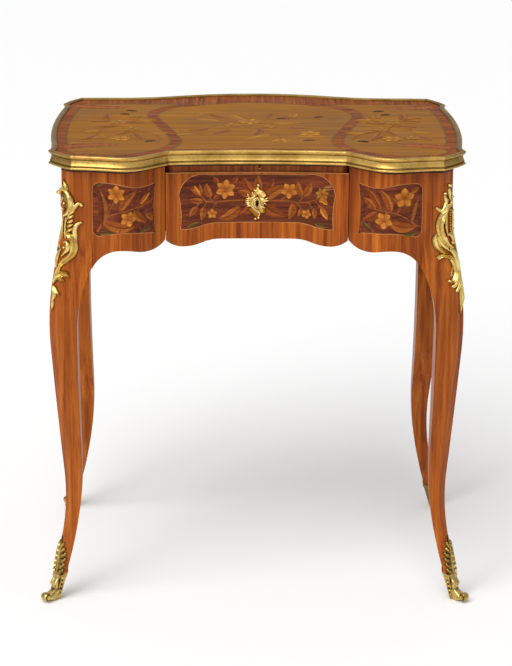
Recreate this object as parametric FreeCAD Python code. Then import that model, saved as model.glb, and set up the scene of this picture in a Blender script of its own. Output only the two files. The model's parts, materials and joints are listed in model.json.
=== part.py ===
import FreeCAD
import Part
import os
os.makedirs("parts", exist_ok=True)
from math import atan, atan2, cos, degrees, pi, radians, sin, sqrt, tan

V = FreeCAD.Vector

# Whole table, in millimetres, front towards -Y, origin on the floor under the middle
height = 735.0
top_half = 322.0
top_front = 183.0
top_back = 236.5

# Outline of the top
notch_half = 136.0
notch_deep = 8.0
lobe_heading = radians(-42)
lobe_steps = [V(35, -39.5, 0), V(71, -53.5, 0), V(85, -51.7, 0)]
lobe_end = 40.0
ear_wide = 36.0
ear_long = 42.0
ear_bow = 3.0
side_heading = radians(110)
side_waist = 5.0
side_flare = 31.0
back_ear_wide = 28.0
back_ear_long = 47.0
back_ear_set = 2.5
back_drop = 38.0
back_steps = [V(-131, -21, 0), V(-235, -36.5, 0)]

# Edge moulding of the top
rim_high = 20.6
rim_thick = 9.0
rim_lip = 1.5
lip_round = 3.0
cove_deep = 4.6
bead_round = 2.6
mitre_reach = 60.0

# Veneers and bands of the top
veneer = 1.5
border_front = 22.0
border_side = 24.0
border_back = 59.0
band_edge = 12.0
band_half = 7.0
band_heading = radians(-16)
band_start_half = 106.0
band_start_back = 79.6
band_back_steps = [V(168, -162, 0), V(164.4, -187, 0)]
band_front_steps = [V(130.5, 103, 0), V(127, 78, 0), V(153, 7, 0), V(210, -30, 0)]

# Frame under the top
overhang = 20.0
front_reveal = 17.0
back_reveal = 18.0
apron_thick = 22.0
stile_wide = 46.0
side_bow = 5.0
opening_reveal = 7.2
tenon_long = 18.0
tenon_thick = 10.0
tenon_set = 6.0
tenon_drop = 10.4
tenon_rise = 13.5
arch_drop = 34.5
arch_lap = 3.0
lobe_drop = 11.7
lobe_rise = 5.7
side_drop = 14.5
panel_side_gap = 14.0
panel_stile_gap = 2.0
panel_top_gap = 23.0
panel_foot_gap = 15.0
block_size = 16.0
block_long = 60.0

# Cabriole legs: stations as shares of the height under the arch, each with its offset from the stile's face
outer_shares = [1.034, 0.764, 0.387, 0.162]
outer_sways = [8.0, 21.0, 3.6, 12.5]
inner_shares = [0.818, 0.441, 0.234, 0.09]
inner_sways = [-21.5, -25.0, -17.2, 1.0]
foot_outer = 28.0
foot_inner = 14.5
knee_drop = 74.4
arch_heading = radians(-63)
sway_share = 0.45
cant_foot = 8.0
cant_top = 16.0

# Gilt mounts
mount_thick = 5.0
mount_half = 21.0
mount_drop = 22.4
mount_long = 195.0
sabot_thick = 2.0
sabot_tip = 106.0
sabot_side = 46.0
sabot_lip = 8.0
sabot_leaf = 8.5
sabot_point = 18.0
sole_thick = 4.0
toe_reach = 17.0
back_toe_reach = 5.0
toe_round = 6.5
toe_half = 8.0

# Drawer, its guides and its lock
play = 1.0
slide_gap = 0.3
rail_high = 17.0
rail_set_back = 3.0
rail_deep = 21.0
rail_notch = 10.0
front_tall = 105.9
drawer_long = 291.0
side_thick = 10.0
floor_rise = 16.5
bottom_rise = 5.0
bottom_thick = 6.0
groove = 5.0
tail_count = 3
tail_long = 14.0
partition_thick = 14.0
runner_wide = 13.0
runner_high = 12.0
stop_long = 14.0
stop_high = 9.0
drawer_panel_side = 21.2
drawer_panel_top = 2.2
drawer_panel_foot = 15.5
lock_half = 30.0
lock_drop = 13.0
lock_deep = 10.0
lock_plate = 1.5
lock_lip = 5.0
bolt_x = 5.0
bolt_half = 7.0
bolt_thick = 4.0
bolt_room = 2.0
bolt_long = 32.0
bolt_throw = 8.0
strike_half = 20.0
strike_lap = 5.0
sight_half = 1.8
sight_rise = 9.0
key_drop = 47.4
key_round = 2.35
key_slot = 1.4
key_long = 6.0
key_reach = 5.0
plate_thick = 4.0
plate_half = 18.5
plate_up = 30.5
plate_down = 29.5

# Places that follow from these sizes
rim_low = height - rim_high
veneer_top = height - rim_lip
core_top = veneer_top - veneer
rail_low = rim_low - rail_high
front_high = rail_low - play
side_high = front_high - play
drawer_low = front_high - front_tall
drawer_floor = drawer_low + floor_rise
lobe_low = drawer_low - lobe_drop
arch_low = drawer_low - arch_drop
key_high = front_high - key_drop
stile_x = top_half - overhang
stile_inner = stile_x - stile_wide
stile_front = top_front + lobe_end - front_reveal
stile_back = top_back - back_drop - back_reveal
opening_half = notch_half + opening_reveal
front_back = -top_front + overhang + apron_thick
drawer_end = front_back + drawer_long
knee_high = rim_low - knee_drop
outer_profile = [(share * arch_low, sway) for share, sway in zip(outer_shares, outer_sways)]
outer_profile.append((sole_thick, foot_outer))
inner_profile = [(share * arch_low, sway) for share, sway in zip(inner_shares, inner_sways)]
inner_profile.append((sole_thick, foot_inner))
far = 2 * height
straight_limit = radians(0.05)


def line(start, end):
    return Part.LineSegment(start, end).toShape()


def bends(start, heading, ends):
    """Run of tangent arcs: each leaves along the last heading and reaches the next point."""
    run = []
    for end in ends:
        chord = end - start
        slope = atan2(chord.y, chord.x)
        half = (slope - heading + pi) % (2 * pi) - pi
        middle = (start + end) * 0.5 + V(chord.y, -chord.x, 0) * (tan(half / 2) / 2)
        run.append(((start, heading), (middle, heading + half), (end, heading + 2 * half)))
        start = end
        heading = heading + 2 * half
    return run


def bowed(start, end, rise):
    """One arc between two points that stands out to the right of its travel by rise."""
    chord = end - start
    half = 2 * atan(2 * rise / chord.Length)
    return bends(start, atan2(chord.y, chord.x) - half, [end])


def across(run):
    """The same run on the other half of the table, travelled in the same sense round it."""
    return [tuple((V(-point.x, point.y, 0), -heading) for point, heading in reversed(spots))
            for spots in reversed(run)]


def drawn_out(run, reach):
    """The run with a straight length added at each end."""
    first, lead = run[0][0]
    last, tail = run[-1][2]
    before = first - V(cos(lead), sin(lead), 0) * reach
    after = last + V(cos(tail), sin(tail), 0) * reach
    return bends(before, lead, [first]) + run + bends(last, tail, [after])


def edges(run, inset=0.0):
    """Edges of a run moved sideways to the left of its travel."""
    made = []
    for spots in run:
        first, middle, last = [point + V(-sin(turn), cos(turn), 0) * inset for point, turn in spots]
        if abs(spots[2][1] - spots[0][1]) < straight_limit:
            made.append(line(first, last))
        else:
            made.append(Part.Arc(first, middle, last).toShape())
    return made


def face_of(made):
    return Part.Face(Part.Wire(Part.__sortEdges__(made)))


def strip(run, near, deep):
    """Flat face between two insets of a run."""
    outer = edges(run, near)
    inner = edges(run, deep)
    ends = [line(outer[0].firstVertex().Point, inner[0].firstVertex().Point),
            line(outer[-1].lastVertex().Point, inner[-1].lastVertex().Point)]
    return face_of(outer + inner + ends)


def risen(face, low, high):
    """Upright prism on a flat face."""
    solid = face.extrude(V(0, 0, high - low))
    solid.translate(V(0, 0, low))
    return solid


def upright(face, turn=0.0):
    """Prism through the whole table on a face drawn as across and up, faced by turn degrees."""
    stood = face.copy()
    stood.rotate(V(), V(1, 0, 0), 90)
    stood.translate(V(0, -far, 0))
    solid = stood.extrude(V(0, 2 * far, 0))
    solid.rotate(V(), V(0, 0, 1), turn)
    return solid


def loop(spots):
    """Closed face of arcs: every second point is the middle of an arc."""
    ring = spots + spots[:1]
    return face_of([Part.Arc(*ring[place:place + 3]).toShape() for place in range(0, len(spots), 2)])


def box(x, y, z):
    """Block between pairs of limits."""
    return Part.makeBox(x[1] - x[0], y[1] - y[0], z[1] - z[0], V(x[0], y[0], z[0]))


def mirrored(shape):
    return shape.mirror(V(), V(1, 0, 0))


def clean(shape):
    """The largest solid of a result, with split faces joined."""
    return max(shape.removeSplitter().Solids, key=lambda solid: solid.Volume)


def save(name, shape):
    if not shape.isValid() or not shape.Solids:
        raise ValueError(name)
    shape.exportStep("parts/" + name + ".step")


# Outline of the top as runs that follow one another round it
front_middle = V(0, -top_front, 0)
back_middle = V(0, top_back, 0)
front_notch = V(notch_half, -top_front - notch_deep, 0)
ear_front_inner = V(top_half - ear_wide, -top_front - lobe_end, 0)
ear_front_tip = V(top_half, ear_front_inner.y + ear_long, 0)
ear_back_tip = V(top_half - back_ear_set, top_back - back_drop - back_ear_long, 0)
ear_back_inner = V(ear_back_tip.x - back_ear_wide, top_back - back_drop, 0)
front_half = bends(front_middle, 0.0, [front_notch])
front_run = across(front_half) + front_half
lobe_run = bends(front_notch, lobe_heading,
                 [V(notch_half, -top_front, 0) + step for step in lobe_steps] + [ear_front_inner])
ear_front_run = bowed(ear_front_inner, ear_front_tip, ear_bow)
side_run = bends(ear_front_tip, side_heading,
                 [V(top_half - 0.7 * side_waist, ear_front_tip.y + side_flare, 0),
                  V(top_half - side_waist, ear_back_tip.y - side_flare, 0), ear_back_tip])
ear_back_run = bowed(ear_back_tip, ear_back_inner, ear_bow)
back_half = bends(back_middle, pi, [back_middle + step for step in back_steps]
                  + [V(-ear_back_inner.x, ear_back_inner.y, 0)])
back_run = across(back_half) + back_half
rim_pieces = [("front_centre", [front_run]), ("front_right", [lobe_run]),
              ("side_right", [ear_front_run, side_run, ear_back_run]), ("back", [back_run]),
              ("side_left", [across(ear_back_run), across(side_run), across(ear_front_run)]),
              ("front_left", [across(lobe_run)])]
ring = [run for name, runs in rim_pieces for run in runs]


def beyond(point, heading):
    """Block that holds all that lies ahead of an upright plane through a corner."""
    block = Part.makeBox(mitre_reach, 2 * mitre_reach, 2 * far, V(0, -mitre_reach, -far))
    block.rotate(V(), V(0, 0, 1), degrees(heading))
    block.translate(point)
    return block


def mitred(shape, run):
    """A length of edge trimmed at the bisecting planes of its two corners."""
    place = ring.index(run)
    before = ring[place - 1][-1][2][1]
    after = ring[(place + 1) % len(ring)][0][0][1]
    for (point, heading), other, side in ((run[0][0], before, pi), (run[-1][2], after, 0.0)):
        swing = (other - heading + pi) % (2 * pi) - pi
        shape = shape.cut(beyond(point, heading + swing / 2 + side))
    return shape


def inset_face(inset):
    """Face of the top inside a border of even width."""
    face = face_of([edge for run in ring for edge in edges(run)])
    for run in ring:
        face = face.cut(mitred(strip(drawn_out(run, mitre_reach / 2), 0, inset), run))
    return max(face.Faces, key=lambda part: part.Area)


def rim_profile(start, heading):
    """Section of the edge moulding: chamfered lip, cove and lower bead."""
    inward = V(-sin(heading), cos(heading), 0)
    lip_low = rim_high - lip_round
    bead_high = 1.5 * bead_round
    section = [(rim_thick, 0), (rim_thick, rim_high), (0.8 * lip_round, rim_high), (0, lip_low),
               (cove_deep, (lip_low + bead_high) / 2), (0, bead_high), (0, 0)]
    spots = [start + inward * deep + V(0, 0, rim_low + rise) for deep, rise in section]
    return Part.makePolygon(spots + spots[:1])


def turned(spots):
    """Length of moulding along one arc or line of a run, turned about the arc or drawn straight."""
    (first, heading), middle, (last, leaving) = spots
    section = Part.Face(rim_profile(first, heading))
    swing = leaving - heading
    if abs(swing) < straight_limit:
        return section.extrude(last - first)
    reach = (last - first).Length / (2 * sin(swing / 2))
    hub = first + V(-sin(heading), cos(heading), 0) * reach
    return section.revolve(hub, V(0, 0, 1), degrees(swing))


def moulding(runs):
    """One piece of the gilt edge moulding, of lengths joined at mitred corners."""
    lengths = []
    for run in runs:
        parts = [turned(spots) for spots in drawn_out(run, mitre_reach / 2)]
        lengths.append(mitred(parts[0].fuse(parts[1:]), run))
    return clean(lengths[0].fuse(lengths[1:]) if lengths[1:] else lengths[0])


def top_pieces():
    """Core board of the top and the veneers that tile it."""
    inner = inset_face(rim_thick)
    steps = [back_middle + step for step in band_back_steps]
    steps += [front_middle + step for step in band_front_steps]
    band_run = bends(V(band_start_half, top_back - band_start_back, 0), band_heading, steps)
    core = risen(inner, rim_low, core_top)
    blank = risen(inner, core_top, veneer_top)

    def laid(face):
        return risen(face, core_top, veneer_top)

    band_right = laid(strip(drawn_out(band_run, band_half), -band_half, band_half))
    band_right = clean(band_right.common(laid(inset_face(band_edge))))
    near = edges(band_run, -band_half)
    ends = [near[0].firstVertex().Point, near[-1].lastVertex().Point]
    others = [V(-end.x, end.y, 0) for end in ends]
    back_arc = Part.Arc(ends[0], V(0, top_back - border_back, 0), others[0]).toShape()
    mirror_near = edges(across(band_run), -band_half)
    middle = face_of(near + mirror_near + [back_arc, line(ends[1], others[1])])
    centre = clean(laid(middle).common(laid(inset_face(border_front))))
    bands = [band_right, mirrored(band_right)]
    centre = clean(centre.cut(bands[0]).cut(bands[1]))
    outer = edges(band_run, band_half)
    first = outer[0].firstVertex().Point
    last = outer[-1].lastVertex().Point
    side = laid(inset_face(border_side)).common(box((0, far), (-far, first.y), (0, far)))
    corners = [last, V(far, last.y - far, 0), V(far, first.y, 0), first]
    side = side.common(laid(face_of(outer + [line(*pair) for pair in zip(corners, corners[1:])])))
    side = clean(side.cut(band_right))
    border = blank
    for piece in (centre, side, mirrored(side), bands[0], bands[1]):
        border = border.cut(piece)
    return {"top_core": core, "top_border": clean(border), "top_centre_field": centre,
            "top_right_field": side, "top_left_field": mirrored(side),
            "top_right_band": bands[0], "top_left_band": bands[1]}


def cant_at(level):
    return cant_foot + (cant_top - cant_foot) * level / rim_low


def sway_at(level):
    """Outward offset of a leg at a height, read between its stations."""
    spots = [(rim_low, 0.0), (knee_high, 0.0)] + outer_profile
    for (high, start), (low, end) in zip(spots, spots[1:]):
        if low <= level <= high:
            return start + (end - start) * (high - level) / (high - low)
    return foot_outer


def leg_face(share, grow, shrink):
    """Side view of a leg: outward offset from the stile's outer face, and height."""
    top_out = V(grow, rim_low, 0)
    top_in = V(-stile_wide - shrink, rim_low, 0)
    knee = V(grow, knee_high, 0)
    arch = V(-stile_wide - shrink, arch_low, 0)
    outer = bends(knee, -pi / 2, [V(sway * share + grow, level, 0) for level, sway in outer_profile])
    inner = bends(arch, arch_heading, [V(deep - (1 - share) * sway_at(level) - shrink, level, 0)
                                       for level, deep in inner_profile])
    ends = [(top_in, top_out), (top_out, knee), (arch, top_in), (outer[-1][2][0], inner[-1][2][0])]
    return face_of(edges(outer) + edges(inner) + [line(*pair) for pair in ends])


def cant_spot(level, sway, grow):
    return V((sway * (1 + sway_share) - cant_at(level)) / sqrt(2) + grow, level, 0)


def cant_face(grow):
    """Diagonal view of a leg that sets the canted outer corner."""
    top = cant_spot(rim_low, 0, grow)
    knee = cant_spot(knee_high, 0, grow)
    outer = bends(knee, -pi / 2, [cant_spot(level, sway, grow) for level, sway in outer_profile])
    foot = outer[-1][2][0]
    back = -2 * stile_wide
    corners = [foot, V(back, foot.y, 0), V(back, rim_low, 0), top, knee]
    return face_of(edges(outer) + [line(*pair) for pair in zip(corners, corners[1:])])


def leg_form(grow=0.0, shrink=0.0):
    """Cabriole leg with its outer stile corner at the origin, standing out along +X and +Y."""
    along_x = upright(leg_face(1.0, grow, shrink))
    along_y = upright(leg_face(sway_share, grow, shrink), 90)
    return clean(along_x.common(along_y).common(upright(cant_face(grow), 45)))


def corner_mount(leg):
    """Gilt mount that wraps the knee: a leaf with a pair of horns, leaning as the leg sways."""
    top = rim_low - mount_drop
    half = [(0, 0), (0.55, 0.16), (1, 0.21), (0.6, 0.3), (0.8, 0.6), (0.45, 0.85), (0, 1)]

    def spot(side, across_it, drop):
        level = top - drop * mount_long
        lean = (1 - sway_share) * sway_at(level) / sqrt(2)
        return V(side * across_it * mount_half + lean, level, 0)

    right = [spot(1, *place) for place in half]
    left = [spot(-1, *place) for place in half[-2::-1]]
    leaf = Part.Face(Part.makePolygon(right + left))
    ahead = box((-far, far), (-stile_wide / 2, far), (0, far))
    ahead.rotate(V(), V(0, 0, 1), -45)
    return clean(upright(leaf, -45).common(leg_form(mount_thick)).common(ahead).cut(leg))


def sabot(leg, reach):
    """Gilt foot shell: a leaf tip up the outer corner, a sole, and a scrolled toe."""
    corner = cant_spot(*outer_profile[-1], sabot_thick).x
    inside = -2 * stile_wide
    outside = 2 * stile_wide

    def back_from_corner(level, reach):
        return cant_spot(level, sway_at(level), sabot_thick) - V(reach, 0, 0)

    leaf_edge = [back_from_corner(sabot_tip, 0),
                 back_from_corner(sabot_tip - sabot_point, sabot_leaf),
                 back_from_corner(sabot_side + sabot_lip, sabot_leaf)]
    corners = leaf_edge + [V(inside, sabot_side, 0), V(inside, 0, 0), V(outside, 0, 0),
                           V(outside, sabot_tip, 0)]
    below = Part.Face(Part.makePolygon(corners + corners[:1]))
    shell = leg_form(sabot_thick, sabot_thick).common(upright(below, 45))
    sole = min(shell.Faces, key=lambda part: part.CenterOfMass.z).extrude(V(0, 0, -sole_thick))
    toe_end = corner + reach
    scroll = toe_end - toe_round
    climb = V(corner - sabot_thick, 4 * toe_round, 0)
    bridge = V(scroll - toe_round / 2, 2 * toe_round, 0)
    heel = corner - 2 * toe_half
    outline = [V(scroll, 0, 0), V(toe_end, 0.6 * toe_round, 0), V(toe_end, 1.4 * toe_round, 0),
               V(scroll, 2 * toe_round, 0), bridge, climb, V(heel, climb.y, 0), V(heel, 0, 0)]
    toe = Part.Face(Part.makePolygon(outline + outline[:1]))
    width = box((-far, far), (-toe_half, toe_half), (0, far))
    width.rotate(V(), V(0, 0, 1), 45)
    toe = upright(toe, 45).common(width)
    aside = (1 - sway_share) * foot_outer / 2
    toe.translate(V(aside, -aside, 0))
    return clean(shell.fuse(sole).fuse(toe).cut(leg))


def at_corner(shape, side, end):
    """Copy of a corner piece at one of the four corners of the frame."""
    copy = shape.copy()
    if end == "front":
        copy = copy.mirror(V(), V(0, 1, 0))
        copy.translate(V(stile_x, -stile_front, 0))
    else:
        copy.translate(V(stile_x, stile_back, 0))
    if side == "left":
        copy = mirrored(copy)
    return copy


def under_edge(run):
    """Face of all that lies below a lower edge drawn as across and up."""
    made = edges(run)
    first = made[0].firstVertex().Point
    last = made[-1].lastVertex().Point
    corners = [last, V(last.x, 0, 0), V(first.x, 0, 0), first]
    return face_of(made + [line(*pair) for pair in zip(corners, corners[1:])])


def tenon(x, y):
    return box(x, y, (drawer_low + tenon_rise, rim_low - tenon_drop))


def shared(across_limits, up_limits, shares):
    """Points placed by shares between two limits across and two limits up."""
    left, right = across_limits
    low, high = up_limits
    return [V(left + (right - left) * x, low + (high - low) * y, 0) for x, y in shares]


def front_panel_outline():
    """Marquetry panel beside the drawer: cusped inner corners, rounded outer ones."""
    return loop(shared((opening_half + panel_side_gap, stile_inner - panel_stile_gap),
                       (drawer_low + panel_foot_gap, rim_low - panel_top_gap),
                       [(0, 0.94), (0.22, 0.9), (0.44, 0.95), (0.65, 0.99), (0.86, 1), (0.96, 0.97),
                        (1, 0.87), (1.005, 0.5), (1, 0.09), (0.95, 0.02), (0.87, 0.01), (0.7, 0.05),
                        (0.49, 0.08), (0.24, 0.05), (0, -0.01), (0.03, 0.45)]))


def front_apron():
    """Right front apron, bowed in plan and shaped below, with its inlaid panel."""
    run = drawn_out(lobe_run, mitre_reach / 2)
    wall = risen(strip(run, overhang, overhang + apron_thick), arch_low - apron_thick, rim_low)
    wall = wall.common(box((opening_half, stile_inner), (-far, 0), (0, far)))
    x = shared((opening_half, stile_inner), (0, 1), [(0.19, 0), (0.37, 0), (0.55, 0)])
    low = bends(V(opening_half, drawer_low, 0), radians(-50),
                [V(x[0].x, lobe_low, 0), V(x[1].x, lobe_low + 0.35 * lobe_rise, 0),
                 V(x[2].x, lobe_low + lobe_rise, 0), V(stile_inner, arch_low - arch_lap, 0)])
    wall = wall.cut(upright(under_edge(low)))
    skin = risen(strip(run, overhang, overhang + veneer), arch_low, rim_low)
    panel = clean(skin.common(upright(front_panel_outline())).common(box((0, far), (-far, 0), (0, far))))
    y = (-stile_front + tenon_set, -stile_front + tenon_set + tenon_thick)
    tongue = tenon((stile_inner, stile_inner + tenon_long), y)
    return clean(wall.cut(panel).fuse(tongue)), panel, tongue


def side_apron():
    """Right side apron, slightly bowed, with a shaped lower edge."""
    first = -stile_front + stile_wide
    last = stile_back - stile_wide
    middle = (first + last) / 2
    half = (last - first) / 2
    run = drawn_out(bowed(V(stile_x, first, 0), V(stile_x, last, 0), side_bow), apron_thick)
    wall = risen(strip(run, 0, apron_thick), arch_low - apron_thick, rim_low)
    wall = wall.common(box((0, far), (first, last), (0, far)))
    rises = [(0.3, 0.6), (0.58, 0.2)]
    spots = [V(along * half, drawer_low - drop * side_drop, 0) for along, drop in rises]
    low = bends(V(0, drawer_low - side_drop, 0), 0.0, spots + [V(half, arch_low, 0)])
    for lower in (under_edge(low), mirrored(under_edge(low))):
        cutter = upright(lower, 90)
        cutter.translate(V(0, middle, 0))
        wall = wall.cut(cutter)
    x = (stile_x - tenon_set - tenon_thick, stile_x - tenon_set)
    tongues = [tenon(x, (first - tenon_long, first)), tenon(x, (last, last + tenon_long))]
    return clean(wall.fuse(tongues)), tongues


def back_apron():
    """Plain back apron that follows the back edge of the top."""
    wall = risen(strip(back_run, overhang, overhang + apron_thick), arch_low - apron_thick, rim_low)
    wall = wall.common(box((-stile_inner, stile_inner), (0, far), (0, far)))
    low = bends(V(0, drawer_low, 0), 0.0, [V(0.7 * stile_inner, drawer_low, 0), V(stile_inner, arch_low, 0)])
    wall = wall.cut(upright(under_edge(low))).cut(upright(mirrored(under_edge(low))))
    y = (stile_back - tenon_set - tenon_thick, stile_back - tenon_set)
    right = tenon((stile_inner, stile_inner + tenon_long), y)
    return clean(wall.fuse([right, mirrored(right)])), [right, mirrored(right)]


def front_block(near, low, high):
    """Block across the drawer opening with the bowed front face of the frieze."""
    return risen(strip(drawn_out(front_run, apron_thick), near, near + 4 * apron_thick), low, high)


def bolt_middle():
    return front_back - lock_deep / 2


def bolt_slot(gap, low, high):
    """Space for the lock bolt, wider than it by a gap all round."""
    y = bolt_middle()
    return box((bolt_x - bolt_half - gap, bolt_x + bolt_half + gap),
               (y - bolt_thick / 2 - gap, y + bolt_thick / 2 + gap), (low, high))


def rail():
    """Fixed rail over the drawer: notched front ends, a mortise for the bolt and its narrow front slot."""
    body = front_block(overhang + rail_set_back, rail_low, rim_low)
    body = body.common(box((-opening_half, opening_half), (-far, front_back + rail_deep), (0, far)))
    reach = bolt_thick / 2 + strike_lap
    plate = box((bolt_x - strike_half, bolt_x + strike_half), (bolt_middle() - reach, bolt_middle() + reach),
                (rail_low, rail_low + lock_plate))
    mortise = bolt_slot(bolt_room, rail_low - play, rail_low + bolt_throw + 3 * play)
    slot = box((bolt_x - sight_half, bolt_x + sight_half), (-far, bolt_middle()),
               (rail_low + sight_rise, far))
    for side in (1, -1):
        ends = sorted((side * opening_half, side * (opening_half - rail_notch)))
        body = body.cut(box(ends, (-far, front_back), (0, far)))
    return clean(body.cut(plate).cut(mortise).cut(slot)), clean(plate.cut(mortise))


def tails(x, start, reach, low, high):
    """Row of dovetails on the end of a drawer side."""
    pitch = (high - low) / tail_count
    row = []
    for number in range(tail_count):
        middle = low + pitch * (number + 0.5)
        spots = [V(x[0], start, middle - pitch / 4), V(x[0], start + reach, middle - pitch / 3),
                 V(x[0], start + reach, middle + pitch / 3), V(x[0], start, middle + pitch / 4)]
        row.append(Part.Face(Part.makePolygon(spots + spots[:1])).extrude(V(x[1] - x[0], 0, 0)))
    return row


def key_way():
    """Plain slot for the key through the wood and the lock."""
    return box((-key_round, key_round), (-far, front_back - lock_deep + key_reach),
               (key_high - key_long, key_high + key_round))


def keyhole():
    """Keyhole of the plate: a round hole over a narrow drop."""
    shaft = Part.makeCylinder(key_round, far, V(0, -far, key_high), V(0, 1, 0))
    drop = box((-key_slot, key_slot), (-far, 0), (key_high - key_long, key_high))
    return shaft.fuse(drop)


def drawer_panel_outline():
    """Long marquetry panel of the drawer: rounded shoulders, cusped lower corners."""
    wide = opening_half - drawer_panel_side
    right = [(0.76, 0.117), (0.82, 0.09), (0.87, 0.045), (0.93, 0.006), (0.99, 0), (0.985, 0.28),
             (1, 0.62), (0.95, 0.9), (0.81, 0.995)]
    left = [(1 - x, y) for x, y in reversed(right)]
    return loop(shared((-wide, wide), (drawer_low + drawer_panel_foot, front_high - drawer_panel_top),
                       right + [(0.5, 1)] + left + [(0.5, 0.122)]))


def escutcheon():
    """Gilt keyhole plate with a scrolled outline, resting by its edges on the hollow drawer front."""
    right = [(0.5, 0), (0.78, 0.22), (1, 0.4), (0.96, 0.62), (0.82, 0.84), (0.5, 1)]
    left = [(1 - x, y) for x, y in right[-2::-1]]
    limits = ((-plate_half, plate_half), (key_high + plate_up, key_high - plate_down))
    outline = Part.Face(Part.makePolygon(shared(*limits, right + left)))
    hollow = plate_half ** 2 * notch_deep / notch_half ** 2
    back = -top_front + overhang - hollow
    slab = box((-far, far), (back - plate_thick, back), (0, far))
    return clean(upright(outline).common(slab).cut(keyhole()))


def drawer():
    """Drawer box with lapped dovetails at the front and through dovetails at the back."""
    wide = opening_half - play
    x = (wide - side_thick, wide)
    back_y = drawer_end - side_thick
    body = front_block(overhang, arch_low, front_high)
    body = body.common(box((-wide, wide), (-far, front_back), (0, far)))
    low = bends(V(0, drawer_low, 0), 0.0,
                [V(0.4 * opening_half, drawer_low, 0), V(0.6 * opening_half, drawer_low - lobe_drop / 2, 0),
                 V(0.8 * opening_half, lobe_low, 0), V(opening_half, drawer_low, 0)])
    body = body.cut(upright(under_edge(low))).cut(upright(mirrored(under_edge(low))))
    skin = risen(strip(front_run, overhang, overhang + veneer), arch_low, front_high)
    skin = skin.common(box((-wide, wide), (-far, 0), (0, far)))
    panel = clean(skin.common(upright(drawer_panel_outline())))
    floor = drawer_floor + bottom_rise
    back_low = floor + bottom_thick
    bottom = box((-x[0] - groove, x[0] + groove), (front_back - groove, drawer_end), (floor, back_low))
    front_tails = tails(x, front_back, -tail_long, back_low, side_high)
    back_tails = tails(x, back_y, side_thick, back_low, side_high)
    side = box(x, (front_back, back_y), (drawer_floor, side_high)).fuse(front_tails + back_tails)
    side = side.fuse(box(x, (back_y, drawer_end), (drawer_floor, back_low)))
    back = box((-wide, wide), (back_y, drawer_end), (back_low, side_high))
    for tail in back_tails:
        back = back.cut(tail).cut(mirrored(tail))
    for tail in front_tails:
        body = body.cut(tail).cut(mirrored(tail))
    case = box((-lock_half, lock_half), (front_back - lock_deep, front_back + lock_plate),
               (key_high - lock_drop, front_high - lock_plate))
    selvedge = box((-lock_half - lock_lip, lock_half + lock_lip),
                   (front_back - lock_deep - lock_plate, front_back + lock_plate),
                   (front_high - lock_plate, front_high))
    case = case.fuse(selvedge)
    body = body.cut(bottom).cut(case).cut(panel).cut(key_way())
    bolt_high = front_high - slide_gap
    lock = case.cut(bolt_slot(slide_gap, bolt_high - bolt_long - slide_gap, far)).cut(key_way())
    side = clean(side.cut(bottom))
    return {"drawer_front": clean(body), "drawer_panel": clean(panel.cut(key_way())),
            "drawer_side_right": side, "drawer_side_left": mirrored(side),
            "drawer_back": clean(back), "drawer_bottom": bottom,
            "escutcheon": escutcheon(), "lock_case": clean(lock),
            "lock_bolt": bolt_slot(0, bolt_high - bolt_long, bolt_high)}


def guides(front, back):
    """Partition, runner, kicker and stop on the right of the drawer."""
    x = (opening_half, opening_half + partition_thick)
    inner = (opening_half - runner_wide, opening_half)
    under = drawer_floor - slide_gap
    first = front_back + apron_thick / 4
    partition = box(x, (front_back - apron_thick, stile_back), (under - runner_high, rim_low))
    partition = partition.cut(front).cut(back)
    runner = box(inner, (first, stile_back), (under - runner_high, under)).cut(back)
    kicker = box(inner, (front_back + rail_deep, stile_back), (rail_low, rim_low)).cut(back)
    stop_y = drawer_end + slide_gap
    stop = box(inner, (stop_y, stop_y + stop_long), (under, under + stop_high))
    return clean(partition), clean(runner), clean(kicker), stop


def glue_blocks(side, back):
    """Triangular blocks in the angle between the aprons and the underside of the top."""
    corner = V(0, 0, rim_low)
    spots = [corner, corner - V(block_size, 0, 0), corner - V(0, 0, block_size), corner]
    wedge = Part.Face(Part.makePolygon(spots)).extrude(V(0, block_long, 0))
    made = []
    for start in (-2 * block_long, block_long / 2):
        block = wedge.copy()
        block.translate(V(stile_x - apron_thick + side_bow, start, 0))
        block = clean(block.cut(side))
        made += [block, mirrored(block)]
    wedge.rotate(V(), V(0, 0, 1), 90)
    wedge.translate(V(block_long / 2, top_back - overhang - apron_thick, 0))
    return made + [clean(wedge.cut(back))]


def build():
    for name, piece in top_pieces().items():
        save(name, piece)
    for name, runs in rim_pieces:
        save("moulding_" + name, moulding(runs))
    front, panel, front_tongue = front_apron()
    side, side_tongues = side_apron()
    back, back_tongues = back_apron()
    for name, piece in (("apron_front", front), ("apron_side", side), ("panel_front", panel)):
        save(name + "_right", piece)
        save(name + "_left", mirrored(piece))
    save("apron_back", back)
    tongues = [front_tongue] + side_tongues + back_tongues[:1]
    leg = leg_form()
    mount = corner_mount(leg)
    for end, reach in (("front", toe_reach), ("back", back_toe_reach)):
        foot = sabot(leg, reach)
        wood = at_corner(leg, "right", end)
        for tongue in tongues:
            wood = wood.cut(tongue)
        wood = clean(wood)
        save("leg_" + end + "_right", wood)
        save("leg_" + end + "_left", mirrored(wood))
        for hand in ("left", "right"):
            save("mount_" + end + "_" + hand, at_corner(mount, hand, end))
            save("sabot_" + end + "_" + hand, at_corner(foot, hand, end))
    cross_rail, strike = rail()
    save("drawer_rail", cross_rail)
    save("strike_plate", strike)
    partition, runner, kicker, stop = guides(front, back)
    for name, piece in (("partition", partition), ("runner", runner), ("kicker", kicker)):
        save(name + "_right", piece)
        save(name + "_left", mirrored(piece))
    save("drawer_stops", Part.Compound([stop, mirrored(stop)]))
    save("glue_blocks", Part.Compound(glue_blocks(side, back)))
    for name, piece in drawer().items():
        save(name, piece)


build()
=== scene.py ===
import json
import math

import bpy
from mathutils import Matrix, Vector
from mathutils.bvhtree import BVHTree


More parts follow.
